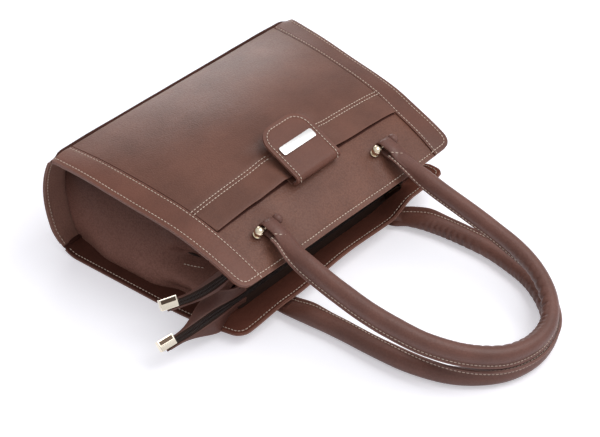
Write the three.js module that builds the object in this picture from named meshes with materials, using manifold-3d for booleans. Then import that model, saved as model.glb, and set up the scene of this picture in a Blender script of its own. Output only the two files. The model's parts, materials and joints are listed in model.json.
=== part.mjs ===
// Leather tote bag lying on its back: two rolled handles, two zipped compartments with an open
// section between them, and a front slip pocket closed by a snap tab.
// x runs along the width, +y to the base, -y to the mouth and handles, +z out of the front panel.
// The origin is the reference point of the flat rest face under the back panel. Millimetres.
import * as THREE from 'three';
import { mergeVertices } from 'three/addons/utils/BufferGeometryUtils.js';
import Module from 'manifold-3d';

const wasm = await Module();
wasm.setup();

// Body
const bodyHeight = 248;
const baseWidth = 360;
const mouthWidth = 320;
const bodyDepth = 120;
const restToBase = 85;
const mouthDrop = 43;
const crown = 12;
const mouthSag = 4;
const baseBulge = 16;
const backSetback = 3;
const backCurl = 20;
const backFlat = 150;
const cornerRadius = 12;
const wingWidth = 28;

// Sheet thicknesses and clearances
const leather = 1.6;
const bandLeather = 1.4;
const gussetLeather = 1.4;
const facingLeather = 1.2;
const liningCloth = 0.8;
const wallCloth = 1.2;
const boardThickness = 2;
const seamGap = 0.35;
const pipingRadius = 2.5;

// Gussets, facings and compartments
const gussetFold = 26;
const facingHeight = 41;
const gussetStop = 4;
const openSection = 18;

// Zips
const zipRecess = 36;
const zipTape = 30;
const frontZipShift = 5;
const tapeThickness = 0.8;
const coilWidth = 4.6;
const coilHeight = 1.4;
const coilSlit = 0.9;
const zipEndInset = 4;
const tailThickness = 1.6;
const tailRootWidth = 24;
const tailFlareWidth = 28;
const tailTipWidth = 9.8;
const tailGap = 0.8;
const tailTapeWidth = 9.2;
const rollShare = 0.4;
const flareAt = 0.72;
const tipShare = 0.18;
const tipStraight = 14;
const frontTail = { reach: 74, towardsBase: 23, drop: 19, dip: 7, turn: 20, roll: 36 };
const rearTail = { reach: 95, towardsBase: 5, drop: 2, dip: -2, turn: 5, roll: 46 };
const cap = { length: 19, width: 12.6, height: 7, wall: 0.9, grip: 12, slit: 3.4, rim: 2.4 };
const slider = { length: 11, width: 8.4, plate: 1.2, web: 0.4, inset: 15 };
const bail = { radius: 0.8, rise: 2.2, span: 5.2 };
const pull = { length: 20, width: 6, thickness: 1.4, eyeRadius: 2 };

// Handles
const handleRadius = 9;
const handleWall = 2.2;
const handleReach = 256;
const legLength = 120;
const handleHalfWidth = 91;
const archPower = 2.3;
const seamFin = 3.5;
const seamLip = 1.2;
const seamSlit = 0.4;
const endTaper = 30;
const endFlatness = 0.32;
const endRings = [0, 5, 11, 18, 26, 36];
const eyeBlend = 12;
const handleStart = 3.5;
const handleRings = 30;
const archSteps = 20;
const boreSides = 8;
const coreClearance = 0.4;
const coreInset = 46;
const frontSway = { start: -3.5, end: 17.5, reach: 330 };
const rearSway = { start: 2, end: 13, reach: 90 };

// Handle bars
const barX = 89;
const frontBarInset = 32.5;
const frontBarShift = -3.5;
const rearBarInset = 28;
const barRadius = 2.2;
const barClearance = 0.3;
const barStandoff = 6.3;
const ballRadius = 5.2;
const ballSpacing = 26;
const eyeRadius = 4.4;
const eyeWidth = 15;
const postRadius = 1.8;
const flangeRadius = 4;
const flangeThickness = 1.2;
const boreRadius = barRadius + barClearance;

// Pocket and tab
const pocketDrop = 57;
const liftReach = 28;
const liftBlend = 22;
const tabOffset = -2;
const tabWidth = 64;
const tabLength = 60;
const tabCorner = 20;
const tabThickness = 3;
const tabStrap = 2;
const tabOverhang = 5;
const strapHold = 28;
const foldRadius = 6;
const plate = { width: 48, height: 10.5, thickness: 1.2, corner: 2.4, fromFold: 29 };
const snap = { radius: 7, thickness: 3.9, fromFold: 40 };

// Derived places
const mouthY = restToBase - bodyHeight;
const backMouthY = mouthY + backSetback;
const zipY = mouthY + zipRecess;
const facingY = mouthY + facingHeight;
const pocketEdgeY = mouthY + pocketDrop;
const frontBarY = mouthY + frontBarInset;
const rearBarY = mouthY + rearBarInset;
const foldY = pocketEdgeY - tabOverhang;
const frontStart = restToBase - pipingRadius + seamGap;

const { lerp, clamp, degToRad } = THREE.MathUtils;
const vector = (x, y, z) => new THREE.Vector3(x, y, z);
const ease = (t) => THREE.MathUtils.smoothstep(t, 0, 1);
const along = (y) => (restToBase - y) / bodyHeight;
const halfWidth = (y) => lerp(baseWidth, mouthWidth, along(y)) / 2;

// Surfaces of the body, each as a height over the rest face
function frontHeight(x, y) {
  const t = along(y);
  const across = 1 - (x / halfWidth(y)) ** 2;
  return bodyDepth - mouthDrop * t ** 3 + across * (4 * crown * t * (1 - t) - mouthSag * t ** 4);
}

function backHeight(y) {
  const curlLength = bodyHeight - backSetback - backFlat;
  const past = Math.max(0, restToBase - backFlat - y);
  return backCurl * (past / curlLength) ** 2;
}

function baseY(z) {
  const half = bodyDepth / 2;
  return restToBase + baseBulge * (1 - ((z - half) / half) ** 2);
}

const frontPoint = (x, y) => vector(x, y, frontHeight(x, y));
const backPoint = (a, y) => vector(-a, y, backHeight(y));
const basePoint = (a, z) => vector(-a, baseY(z), z);

// Slope of a height along y, for pieces that sit on a panel
const slopeAt = (height, y) => (height(y + 0.5) - height(y - 0.5));
const frontSlope = (x, y) => slopeAt((v) => frontHeight(x, v), y);
const backSlope = (y) => slopeAt(backHeight, y);
const stretch = (slope) => Math.hypot(1, slope);

// Height of the inner side of a panel, depth millimetres in from its outer face
const underFront = (x, y, inset) => frontHeight(x, y) - inset * stretch(frontSlope(x, y));
const overBack = (y, inset) => backHeight(y) + inset * stretch(backSlope(y));

// Shared rows along y keep neighbouring layers parallel
const cornerRows = [0, 1, 2, 3].map((i) => cornerRadius * (1 - Math.cos((i * Math.PI) / 8)));
const bodyRows = Array.from({ length: 12 }, (_, i) => lerp(mouthY + cornerRadius, restToBase, i / 11));
const curlRows = Array.from({ length: 6 }, (_, i) => lerp(backMouthY, restToBase - backFlat, i / 5));
const frontRows = [...cornerRows.map((d) => mouthY + d), ...bodyRows, facingY];
const backRows = [...cornerRows.map((d) => backMouthY + d), ...curlRows.slice(1), restToBase];

function rowsBetween(rows, low, high) {
  const inner = rows.filter((y) => y > low + 1.5 && y < high - 1.5).sort((a, b) => a - b);
  return [low, ...inner, high];
}

// Half width of a panel whose mouth corners are rounded
function roundedHalf(y, mouth) {
  const inset = cornerRadius - clamp(y - mouth, 0, cornerRadius);
  return halfWidth(y) - cornerRadius + Math.sqrt(cornerRadius ** 2 - inset ** 2);
}

const evenly = (count) => Array.from({ length: count + 1 }, (_, i) => i / count);

// A closed sheet over a surface point(a, b): span(b) gives its reach in a, columns are shares of it,
// and inside and outside are distances from the surface along its outward normal.
function sheet({ point, rows, span, columns, inside, outside }) {
  const step = 0.01;
  const value = (f, a, b) => (typeof f === 'function' ? f(a, b) : f);
  const outer = [];
  const inner = [];
  for (const b of rows) {
    const [low, high] = span(b);
    for (const share of columns) {
      const a = lerp(low, high, share);
      const place = point(a, b);
      const alongA = point(a + step, b).sub(point(a - step, b));
      const alongB = point(a, b + step).sub(point(a, b - step));
      const normal = alongA.cross(alongB).normalize();
      outer.push(place.clone().addScaledVector(normal, value(outside, a, b)));
      inner.push(place.clone().addScaledVector(normal, value(inside, a, b)));
    }
  }
  const width = columns.length;
  const count = rows.length;
  const half = outer.length;
  const index = [];
  const quad = (a, b, c, d) => index.push(a, b, c, a, c, d);
  for (let j = 0; j < count - 1; j += 1) {
    for (let i = 0; i < width - 1; i += 1) {
      const k = j * width + i;
      quad(k, k + 1, k + width + 1, k + width);
      quad(half + k, half + k + width, half + k + width + 1, half + k + 1);
    }
    const first = j * width;
    const last = first + width - 1;
    quad(first, first + width, half + first + width, half + first);
    quad(last, half + last, half + last + width, last + width);
  }
  for (let i = 0; i < width - 1; i += 1) {
    const top = (count - 1) * width + i;
    quad(i, half + i, half + i + 1, i + 1);
    quad(top, top + 1, half + top + 1, half + top);
  }
  return fromPoints([...outer, ...inner], index);
}

function fromPoints(points, index) {
  const geometry = new THREE.BufferGeometry().setFromPoints(points);
  geometry.setIndex(index);
  geometry.computeVertexNormals();
  return geometry;
}

// A closed solid through rings of points that follow one flat outline
function loft(rings, outline) {
  const size = outline.length;
  const index = [];
  for (let j = 0; j < rings.length - 1; j += 1) {
    for (let i = 0; i < size; i += 1) {
      const a = j * size + i;
      const b = j * size + ((i + 1) % size);
      index.push(a, b, b + size, a, b + size, a + size);
    }
  }
  const last = (rings.length - 1) * size;
  for (const [a, b, c] of THREE.ShapeUtils.triangulateShape(outline, [])) {
    index.push(c, b, a, last + a, last + b, last + c);
  }
  return fromPoints(rings.flat(), index);
}

// Booleans
function solid(geometry) {
  const bare = new THREE.BufferGeometry();
  bare.setAttribute('position', geometry.getAttribute('position').clone());
  bare.setIndex(geometry.index ? geometry.index.clone() : null);
  const merged = mergeVertices(bare, 1e-4);
  const index = merged.index.array;
  const kept = [];
  for (let i = 0; i < index.length; i += 3) {
    const [a, b, c] = [index[i], index[i + 1], index[i + 2]];
    if (a !== b && b !== c && a !== c) kept.push(a, b, c);
  }
  const vertProperties = new Float32Array(merged.getAttribute('position').array);
  return new wasm.Manifold(new wasm.Mesh({ numProp: 3, vertProperties, triVerts: new Uint32Array(kept) }));
}

function shape(body) {
  const mesh = body.getMesh();
  const geometry = new THREE.BufferGeometry();
  geometry.setAttribute('position', new THREE.BufferAttribute(mesh.vertProperties, 3));
  geometry.setIndex(new THREE.BufferAttribute(mesh.triVerts, 1));
  geometry.computeVertexNormals();
  return geometry;
}

const joined = (...pieces) => shape(pieces.map(solid).reduce((a, b) => a.add(b)));
const cut = (piece, tool) => shape(solid(piece).subtract(solid(tool)));
const common = (a, b) => shape(solid(a).intersect(solid(b)));

// Materials
const finish = (color, roughness, metalness = 0) =>
  new THREE.MeshStandardMaterial({ color, roughness, metalness });
const leatherFinish = finish(0x6a4238, 0.55);
const darkLeather = finish(0x4a2c25, 0.6);
const clothFinish = finish(0x3a2a26, 0.9);
const tapeFinish = finish(0x2a1f1d, 0.8);
const boardFinish = finish(0x8a7b66, 0.9);
const goldFinish = finish(0xd8c08a, 0.22, 1);
const bronzeFinish = finish(0x4a3a2c, 0.38, 1);
const silverFinish = finish(0xe4e2de, 0.25, 1);
const coreFinish = finish(0xb9a88a, 0.9);

const bag = new THREE.Group();

function add(name, geometry, material, parent = bag) {
  const mesh = new THREE.Mesh(geometry, material.clone());
  mesh.name = name;
  parent.add(mesh);
  return mesh;
}

function frameAt(position, turn = 0, parent = bag) {
  const group = new THREE.Group();
  group.position.copy(position);
  group.rotation.x = turn;
  parent.add(group);
  return group;
}

const sides = [['left', -1], ['right', 1]];

// A span on one side of the middle, in rising order
const sideSpan = (sign, inner, outer) => (sign > 0 ? [inner, outer] : [-outer, -inner]);

// Panels
const wingLine = (y) => halfWidth(y) - wingWidth;
const innerLine = (y) => wingLine(y) - gussetLeather - seamGap;

add('front_panel', sheet({
  point: frontPoint,
  rows: rowsBetween(frontRows, mouthY, frontStart),
  span: (y) => [-roundedHalf(y, mouthY), roundedHalf(y, mouthY)],
  columns: evenly(12),
  inside: -leather,
  outside: 0,
}), leatherFinish);

for (const [side, sign] of sides) {
  add(`front_${side}_band`, sheet({
    point: frontPoint,
    rows: rowsBetween(frontRows, mouthY, frontStart),
    span: (y) => sideSpan(sign, wingLine(y), roundedHalf(y, mouthY)),
    columns: evenly(2),
    inside: seamGap,
    outside: seamGap + bandLeather,
  }), leatherFinish);
}

add('back_panel', sheet({
  point: backPoint,
  rows: rowsBetween(backRows, backMouthY, frontStart),
  span: (y) => [-roundedHalf(y, backMouthY), roundedHalf(y, backMouthY)],
  columns: evenly(2),
  inside: -leather,
  outside: 0,
}), leatherFinish);

const pipingSeat = pipingRadius * 2 + seamGap;

function baseLayer(inset, thickness, halfLength, trim) {
  return sheet({
    point: basePoint,
    rows: evenly(8).map((t) => lerp(pipingSeat + trim, bodyDepth - pipingSeat - trim, t)),
    span: () => [-halfLength, halfLength],
    columns: [0, 1],
    inside: -inset - thickness,
    outside: -inset,
  });
}

const boardInset = leather + seamGap;
const baseLiningInset = boardInset + boardThickness + seamGap;
const baseInnerHalf = innerLine(restToBase) - seamGap;
add('base_panel', baseLayer(0, leather, baseWidth / 2, 0), leatherFinish);
add('base_board', baseLayer(boardInset, boardThickness, baseInnerHalf, 1), boardFinish);
add('base_lining', baseLayer(baseLiningInset, liningCloth, baseInnerHalf, 2), clothFinish);

// Piping cords fill the corners between the base and the panels
const pipingOutline = new THREE.Shape().absarc(0, 0, pipingRadius, 0, 2 * Math.PI);
for (const [name, z] of [['front', bodyDepth - pipingRadius], ['back', pipingRadius]]) {
  const cord = new THREE.ExtrudeGeometry(pipingOutline, {
    depth: baseWidth,
    bevelEnabled: false,
    curveSegments: 5,
    steps: 1,
  });
  cord.translate(0, 0, -baseWidth / 2);
  cord.rotateY(Math.PI / 2);
  cord.translate(0, restToBase + 2 * seamGap, z);
  add(`${name}_piping`, shape(solid(cord)), darkLeather);
}

// Gussets: set in by the width of the wings and folded inwards towards the mouth
const gussetMouthY = facingY + gussetStop;
const gussetInset = leather + 2 * seamGap;
const foldAt = (y) => gussetFold * clamp(along(y), 0, 1);

function gussetPoint(sign) {
  const baseInset = baseLiningInset + liningCloth + seamGap;
  return (a, b) => {
    const share = sign > 0 ? a : 1 - a;
    const guess = lerp(gussetInset, bodyDepth - gussetInset, share);
    const y = lerp(gussetMouthY, baseY(guess) - baseInset, b);
    const seam = sign * wingLine(Math.min(y, restToBase));
    const low = overBack(y, gussetInset);
    const high = underFront(seam, Math.min(y, restToBase), gussetInset);
    const fold = foldAt(Math.min(y, restToBase)) * (1 - Math.cos(2 * Math.PI * share)) / 2;
    return vector(seam - sign * fold, y, lerp(low, high, share));
  };
}

for (const [side, sign] of sides) {
  add(`${side}_gusset`, sheet({
    point: gussetPoint(sign),
    rows: evenly(8),
    span: () => [0, 1],
    columns: evenly(8),
    inside: -gussetLeather,
    outside: 0,
  }), darkLeather);
}

// Facings line the mouth, and the lining carries on below them
const liningStart = facingY + seamGap;
const liningEnd = restToBase - pipingSeat;
const layerInset = leather + seamGap;

add('front_facing', sheet({
  point: frontPoint,
  rows: rowsBetween(frontRows, mouthY + seamGap, facingY - seamGap),
  span: (y) => [-roundedHalf(y, mouthY), roundedHalf(y, mouthY)],
  columns: evenly(12),
  inside: -layerInset - facingLeather,
  outside: -layerInset,
}), darkLeather);

add('back_facing', sheet({
  point: backPoint,
  rows: rowsBetween(backRows, backMouthY + seamGap, facingY - seamGap),
  span: (y) => [-roundedHalf(y, backMouthY), roundedHalf(y, backMouthY)],
  columns: evenly(2),
  inside: -layerInset - facingLeather,
  outside: -layerInset,
}), darkLeather);

add('front_lining', sheet({
  point: frontPoint,
  rows: rowsBetween(frontRows, liningStart, liningEnd),
  span: (y) => [-innerLine(y) + seamGap, innerLine(y) - seamGap],
  columns: evenly(10),
  inside: -layerInset - liningCloth,
  outside: -layerInset,
}), clothFinish);

add('back_lining', sheet({
  point: backPoint,
  rows: rowsBetween(backRows, liningStart, liningEnd),
  span: (y) => [-innerLine(y) + seamGap, innerLine(y) - seamGap],
  columns: evenly(2),
  inside: -layerInset - liningCloth,
  outside: -layerInset,
}), clothFinish);

// Zip planes: each tape reaches from its facing to the cloth wall of its compartment
const facingInset = layerInset + facingLeather + seamGap;
const tapeTop = (x) => underFront(x, zipY, facingInset);
const zipEnd = wingLine(zipY) - zipEndInset;
const tapeBottom = overBack(zipY, facingInset);
const frontZipZ = tapeTop(zipEnd) - zipTape / 2 - frontZipShift;
const rearZipZ = tapeBottom + zipTape / 2;
const wallTop = zipY + tapeThickness / 2 + seamGap;
const sectionMiddle = (frontZipZ + rearZipZ) / 2;

// Cloth walls either side of the open section
const wallEnd = restToBase - pipingSeat;
const wallHalf = (y) => innerLine(y) - foldAt(y) - 2 * seamGap;
for (const [name, sign] of [['front', 1], ['rear', -1]]) {
  const low = sectionMiddle + sign * openSection / 2;
  add(`${name}_wall`, sheet({
    point: (x, y) => vector(x, y, low),
    rows: [wallTop, wallEnd],
    span: (y) => [-wallHalf(y), wallHalf(y)],
    columns: [0, 1],
    inside: sign > 0 ? 0 : -wallCloth,
    outside: sign > 0 ? wallCloth : 0,
  }), clothFinish);
}

// Zips. The path runs from the end cap, parameter 0, to the tail's root, 1, and along the mouth to 2.
function zipPath(zipZ, tail) {
  const root = vector(-zipEnd, zipY, zipZ);
  const tip = vector(-zipEnd - tail.reach, zipY + tail.towardsBase, zipZ - tail.drop);
  const aim = vector(Math.cos(degToRad(tail.turn)), -Math.sin(degToRad(tail.turn)), 0);
  const bendStart = tip.clone().addScaledVector(aim, tipStraight);
  const curve = new THREE.CubicBezierCurve3(
    bendStart,
    bendStart.clone().addScaledVector(aim, tail.reach / 3),
    root.clone().add(vector(-tail.reach / 3, 0, -tail.dip)),
    root,
  );
  const bendShare = (a) => (a - tipShare) / (1 - tipShare);
  const place = (a) => {
    if (a >= 1) return vector(lerp(-zipEnd, zipEnd, a - 1), zipY, zipZ);
    return a < tipShare ? tip.clone().lerp(bendStart, a / tipShare) : curve.getPoint(bendShare(a));
  };
  const tangent = (a) => {
    if (a >= 1) return vector(1, 0, 0);
    return a < tipShare ? aim.clone() : curve.getTangent(bendShare(a));
  };
  const across = (a) => {
    const run = tangent(a);
    const up = vector(0, 0, 1).addScaledVector(run, -run.z).normalize();
    return up.applyAxisAngle(run, -degToRad(tail.roll) * ease((1 - a) / rollShare));
  };
  return { place, tangent, across };
}

const rollStart = 1 - rollShare;
const tailColumns = [
  0,
  ...evenly(4).map((t) => lerp(tipShare, rollStart, t)),
  ...evenly(6).slice(1).map((t) => lerp(rollStart, 1, t)),
];
const zipColumns = [...tailColumns, ...evenly(8).slice(1).map((t) => 1 + t)];
const tapeNarrow = (a, root, tip) => lerp(tip, root, ease((a - rollShare) / (1 - rollShare)));
const tailHalf = (a) => {
  const outer = lerp(tailTipWidth, tailFlareWidth, ease((a - tipShare) / (flareAt - tipShare)));
  return lerp(outer, tailRootWidth, ease((a - flareAt) / (1 - flareAt))) / 2;
};

// One tape half with its coil; b counts the edges from the slit outwards
function tapeHalf(path, sign, edge) {
  const offsets = (a, b) => {
    const half = a < 1 ? tapeNarrow(a, edge(-zipEnd), tailTapeWidth / 2) : edge(path.place(a).x);
    const steps = [coilSlit / 2, coilWidth / 2, coilWidth / 2 + seamGap, half];
    const k = clamp(Math.floor(b), 0, 2);
    return lerp(steps[k], steps[k + 1], b - k);
  };
  return sheet({
    point: (a, b) => path.place(a).addScaledVector(path.across(a), sign * offsets(a, sign > 0 ? b : 3 - b)),
    rows: [0, 1, 2, 3],
    span: () => [0, 2],
    columns: zipColumns.map((a) => a / 2),
    inside: -tapeThickness / 2,
    outside: (a, b) => tapeThickness / 2 + ((sign > 0 ? b : 3 - b) < 1.5 ? coilHeight : 0),
  });
}

function endCap(path) {
  const run = path.tangent(0);
  const across = path.across(0);
  const out = run.clone().cross(across);
  const outer = new THREE.BoxGeometry(cap.length, cap.width, cap.height);
  const slot = new THREE.BoxGeometry(cap.length, cap.width - 2 * cap.wall, cap.height - 2 * cap.wall);
  slot.translate(cap.length - cap.grip - seamGap, 0, 0);
  const slit = new THREE.BoxGeometry(cap.length - 2 * cap.rim, cap.slit, cap.height);
  slit.translate(0, cap.slit / 2, cap.height / 2);
  const geometry = cut(cut(outer, slot), slit);
  const group = new THREE.Group();
  group.setRotationFromMatrix(new THREE.Matrix4().makeBasis(run, across, out));
  const stackMiddle = (coilHeight - tailGap - tailThickness) / 2;
  group.position.copy(path.place(0)).addScaledVector(run, cap.grip - cap.length / 2);
  group.position.addScaledVector(out, stackMiddle);
  return { group, geometry };
}

const tailSpan = 1.06;

function addZip(name, zipZ, tail, upper, lower, outerSign) {
  const path = zipPath(zipZ, tail);
  const [topName, bottomName] = outerSign > 0 ? ['outer', 'inner'] : ['inner', 'outer'];
  add(`${name}_zip_${topName}_tape`, tapeHalf(path, 1, upper), tapeFinish);
  add(`${name}_zip_${bottomName}_tape`, tapeHalf(path, -1, lower), tapeFinish);
  add(`${name}_zip_tail`, sheet({
    point: (a, b) => path.place(a).addScaledVector(path.across(a), b * tailHalf(a)),
    rows: [-1, 0, 1],
    span: () => [0, tailSpan],
    columns: [...tailColumns, tailSpan].map((a) => a / tailSpan),
    inside: -tapeThickness / 2 - tailGap - tailThickness,
    outside: -tapeThickness / 2 - tailGap,
  }), leatherFinish);
  const { group, geometry } = endCap(path);
  bag.add(group);
  add(`${name}_zip_cap`, geometry, goldFinish, group);
  addSlider(name, zipZ);
}

// Slider and pull, drawn with their own z out of the mouth and their own y across the tape
function addSlider(name, zipZ) {
  const group = frameAt(vector(zipEnd - slider.inset, zipY, zipZ), Math.PI / 2);
  const top = tapeThickness / 2 + coilHeight + seamGap;
  const bottom = -tapeThickness / 2 - seamGap - slider.plate;
  const upper = new THREE.BoxGeometry(slider.length, slider.width, slider.plate);
  upper.translate(0, 0, top + slider.plate / 2);
  const under = new THREE.BoxGeometry(slider.length, slider.width, slider.plate);
  under.translate(0, 0, bottom + slider.plate / 2);
  const web = new THREE.BoxGeometry(slider.length / 2, slider.web, top - bottom + slider.plate);
  web.translate(slider.length / 8, 0, (top + bottom + slider.plate) / 2);
  const bailZ = top + slider.plate + bail.rise;
  const bar = new THREE.CylinderGeometry(bail.radius, bail.radius, bail.span + 2 * bail.radius, 8);
  bar.translate(0, 0, bailZ);
  const ears = [-1, 1].map((sign) => {
    const ear = new THREE.BoxGeometry(2 * bail.radius, 2 * bail.radius, bail.rise + slider.plate / 2);
    ear.translate(0, sign * bail.span / 2, bailZ - (bail.rise + slider.plate / 2) / 2);
    return ear;
  });
  add(`${name}_zip_slider`, joined(upper, under, web, bar, ...ears), bronzeFinish, group);

  const hinge = frameAt(vector(0, 0, bailZ), 0, group);
  const eyeSpan = bail.span - 2 * bail.radius - 2 * seamGap;
  const eye = new THREE.CylinderGeometry(pull.eyeRadius, pull.eyeRadius, eyeSpan, 12);
  const bore = new THREE.CylinderGeometry(bail.radius + seamGap, bail.radius + seamGap, 2 * eyeSpan, 12);
  const neck = new THREE.BoxGeometry(pull.eyeRadius * 2, eyeSpan, pull.thickness);
  neck.translate(-pull.eyeRadius - bail.radius - seamGap, 0, 0);
  const blade = new THREE.BoxGeometry(pull.length, pull.width, pull.thickness);
  blade.translate(-pull.length / 2 - 2 * pull.eyeRadius, 0, 0);
  add(`${name}_zip_pull`, cut(joined(eye, neck, blade), bore), bronzeFinish, hinge);
}

const frontWallZ = sectionMiddle + openSection / 2;
const rearWallZ = sectionMiddle - openSection / 2;
addZip('front', frontZipZ, frontTail, (x) => tapeTop(x) - frontZipZ, () => frontZipZ - frontWallZ, 1);
addZip('rear', rearZipZ, rearTail, () => rearWallZ - rearZipZ, () => rearZipZ - tapeBottom, -1);

// Handle bars: a ball at each end of a rod, on two posts with flanges
function barGeometry() {
  const profile = [];
  const ball = (centre, from, to) => {
    for (let i = 0; i <= 5; i += 1) {
      const angle = lerp(from, to, i / 5);
      profile.push(new THREE.Vector2(ballRadius * Math.sin(angle), centre - ballRadius * Math.cos(angle)));
    }
  };
  const neck = Math.asin(barRadius / ballRadius);
  ball(-ballSpacing / 2, 0, Math.PI - neck);
  ball(ballSpacing / 2, neck, Math.PI);
  const rod = new THREE.LatheGeometry(profile, 12);
  rod.rotateZ(-Math.PI / 2);
  rod.translate(0, 0, barStandoff);
  const posts = [-1, 1].flatMap((sign) => {
    const height = barStandoff - seamGap;
    const post = new THREE.CylinderGeometry(postRadius, postRadius, height, 8);
    post.rotateX(Math.PI / 2);
    post.translate(sign * ballSpacing / 2, 0, seamGap + height / 2);
    const flange = new THREE.CylinderGeometry(flangeRadius, flangeRadius, flangeThickness, 12);
    flange.rotateX(Math.PI / 2);
    flange.translate(sign * ballSpacing / 2, 0, 2 * seamGap + flangeThickness / 2);
    return [post, flange];
  });
  return joined(rod, ...posts);
}

const frontTurn = Math.atan(frontSlope(barX, frontBarY));
const frontBarZ = frontHeight(barX, frontBarY) + seamGap;
const frontBarSeat = (x) => vector(x + frontBarShift, frontBarY, frontBarZ);
const rearTurn = Math.PI + Math.atan(backSlope(rearBarY));
const rearBarSeat = (x) => vector(x, rearBarY, backHeight(rearBarY));

for (const [side, sign] of sides) {
  add(`front_${side}_bar`, barGeometry(), goldFinish, frameAt(frontBarSeat(sign * barX), frontTurn));
  add(`rear_${side}_bar`, barGeometry(), goldFinish, frameAt(rearBarSeat(sign * barX), rearTurn));
}

const barAxis = (seat, turn) =>
  vector(0, -Math.sin(turn), Math.cos(turn)).multiplyScalar(barStandoff).add(seat);
const frontAxis = barAxis(frontBarSeat(0), frontTurn);
const rearAxis = barAxis(rearBarSeat(0), rearTurn);

// Handles, drawn flat: x across, -y away from the bars, z out of the handle's plane
function handleCurve(sway, lift) {
  const shift = (v) => lerp(sway.start, sway.end, ease(v / sway.reach));
  const points = [];
  const put = (x, v) => {
    const held = ease(v / endTaper);
    const rest = x + shift(v);
    const start = Math.sign(x) * barX;
    points.push(vector(lerp(start, rest, held), -v, lift * held));
  };
  const legStops = [handleStart, ...[1, 2, 3, 6, 9].map((n) => (n * endTaper) / 3)];
  for (const v of legStops) put(-handleHalfWidth, v);
  for (let i = 0; i <= archSteps; i += 1) {
    const angle = Math.PI * (1 - i / archSteps);
    const cos = Math.cos(angle);
    const bend = Math.sign(cos) * Math.abs(cos) ** (2 / archPower);
    const rise = Math.abs(Math.sin(angle)) ** (2 / archPower);
    put(handleHalfWidth * (Math.abs(cos) < 1e-9 ? 0 : bend), legLength + (handleReach - legLength) * rise);
  }
  for (const v of legStops.reverse()) put(handleHalfWidth, v);
  return new THREE.CatmullRomCurve3(points, false, 'centripetal');
}

// Section of the rolled leather: a tube left open along its seam, with the two edges as a fin
function rolledOutline() {
  const outline = [];
  const inner = handleRadius - handleWall;
  const lip = seamSlit / 2 + seamLip;
  const reach = handleRadius + seamFin;
  const outerGap = Math.asin(lip / handleRadius);
  const innerGap = Math.asin(seamSlit / 2 / inner);
  const ring = (radius, from, to, count) => {
    for (let i = 0; i <= count; i += 1) {
      const angle = lerp(from, to, i / count);
      outline.push(new THREE.Vector2(radius * Math.sin(angle), -radius * Math.cos(angle)));
    }
  };
  outline.push(new THREE.Vector2(lip, -reach));
  ring(handleRadius, outerGap, 2 * Math.PI - outerGap, 10);
  outline.push(new THREE.Vector2(-lip, -reach));
  outline.push(new THREE.Vector2(-seamSlit / 2, -reach));
  ring(inner, 2 * Math.PI - innerGap, innerGap, boreSides);
  outline.push(new THREE.Vector2(seamSlit / 2, -reach));
  return outline;
}

function sweep(curve, outline, distances, squash, finSide) {
  const total = curve.getLength();
  const rings = distances.map((d) => {
    const t = clamp(d / total, 0, 1);
    const place = curve.getPointAt(t);
    const run = curve.getTangentAt(t);
    const up = vector(0, 0, 1).addScaledVector(run, -run.z).normalize();
    const side = up.clone().cross(run);
    const [wide, tall] = squash(Math.min(d, total - d));
    return outline.map((p) => place.clone()
      .addScaledVector(side, finSide * p.x * wide)
      .addScaledVector(up, finSide * p.y * tall));
  });
  return loft(rings, outline);
}

function addHandle(name, axis, turn, sway, lift, finSide) {
  const group = frameAt(axis, turn);
  const curve = handleCurve(sway, lift);
  curve.arcLengthDivisions = 800;
  const total = curve.getLength();
  const lastEnd = endRings.at(-1);
  const middle = evenly(handleRings).slice(1, -1).map((t) => lerp(lastEnd, total - lastEnd, t));
  const distances = [...endRings, ...middle, ...endRings.map((d) => total - d).reverse()];
  const flatten = (d) => {
    const share = ease(d / endTaper);
    return [lerp(eyeWidth / 2 / handleRadius, 1, ease(d / eyeBlend)), lerp(endFlatness, 1, share)];
  };
  const tube = sweep(curve, rolledOutline(), distances, flatten, finSide);
  const eyes = [-barX, barX].map((x) => {
    const eye = new THREE.CylinderGeometry(eyeRadius, eyeRadius, eyeWidth, 14);
    eye.rotateZ(Math.PI / 2);
    eye.translate(x, 0, 0);
    return eye;
  });
  const bores = [-barX, barX].map((x) => {
    const bore = new THREE.CylinderGeometry(boreRadius, boreRadius, 2 * eyeWidth, 14);
    bore.rotateZ(Math.PI / 2);
    bore.translate(x, 0, 0);
    return bore;
  });
  const looped = bores.reduce((body, bore) => cut(body, bore), joined(tube, ...eyes));
  add(`${name}_handle`, looped, leatherFinish, group);

  const coreRadius = (handleRadius - handleWall) * Math.cos(Math.PI / boreSides) - coreClearance;
  const coreOutline = evenly(8).slice(1).map((t) => new THREE.Vector2(
    coreRadius * Math.cos(2 * Math.PI * t),
    coreRadius * Math.sin(2 * Math.PI * t),
  ));
  const coreRun = evenly(handleRings).map((t) => lerp(coreInset, total - coreInset, t));
  add(`${name}_handle_core`, sweep(curve, coreOutline, coreRun, () => [1, 1], finSide), coreFinish, group);
}

// The rear handle lies on the ground, and the front one comes down on top of it
const rearLift = handleRadius + seamGap - rearAxis.z;
const apexHeight = 3 * handleRadius + seamFin + 4 * seamGap;
const frontDroop = Math.asin((frontAxis.z - apexHeight) / handleReach);
addHandle('front', frontAxis, frontDroop, frontSway, 0, 1);
addHandle('rear', rearAxis, 0, rearSway, rearLift, -1);

// Slip pocket, lifted a little where the tab's strap runs down inside it
const strapEnd = pocketEdgeY + strapHold;
const strapRise = tabStrap + 2 * seamGap;

function pocketLift(x, y) {
  const side = ease((tabWidth / 2 + liftReach - Math.abs(x - tabOffset)) / liftBlend);
  const end = ease((strapEnd + liftReach - y) / liftBlend);
  return seamGap + strapRise * side * end;
}

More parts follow.
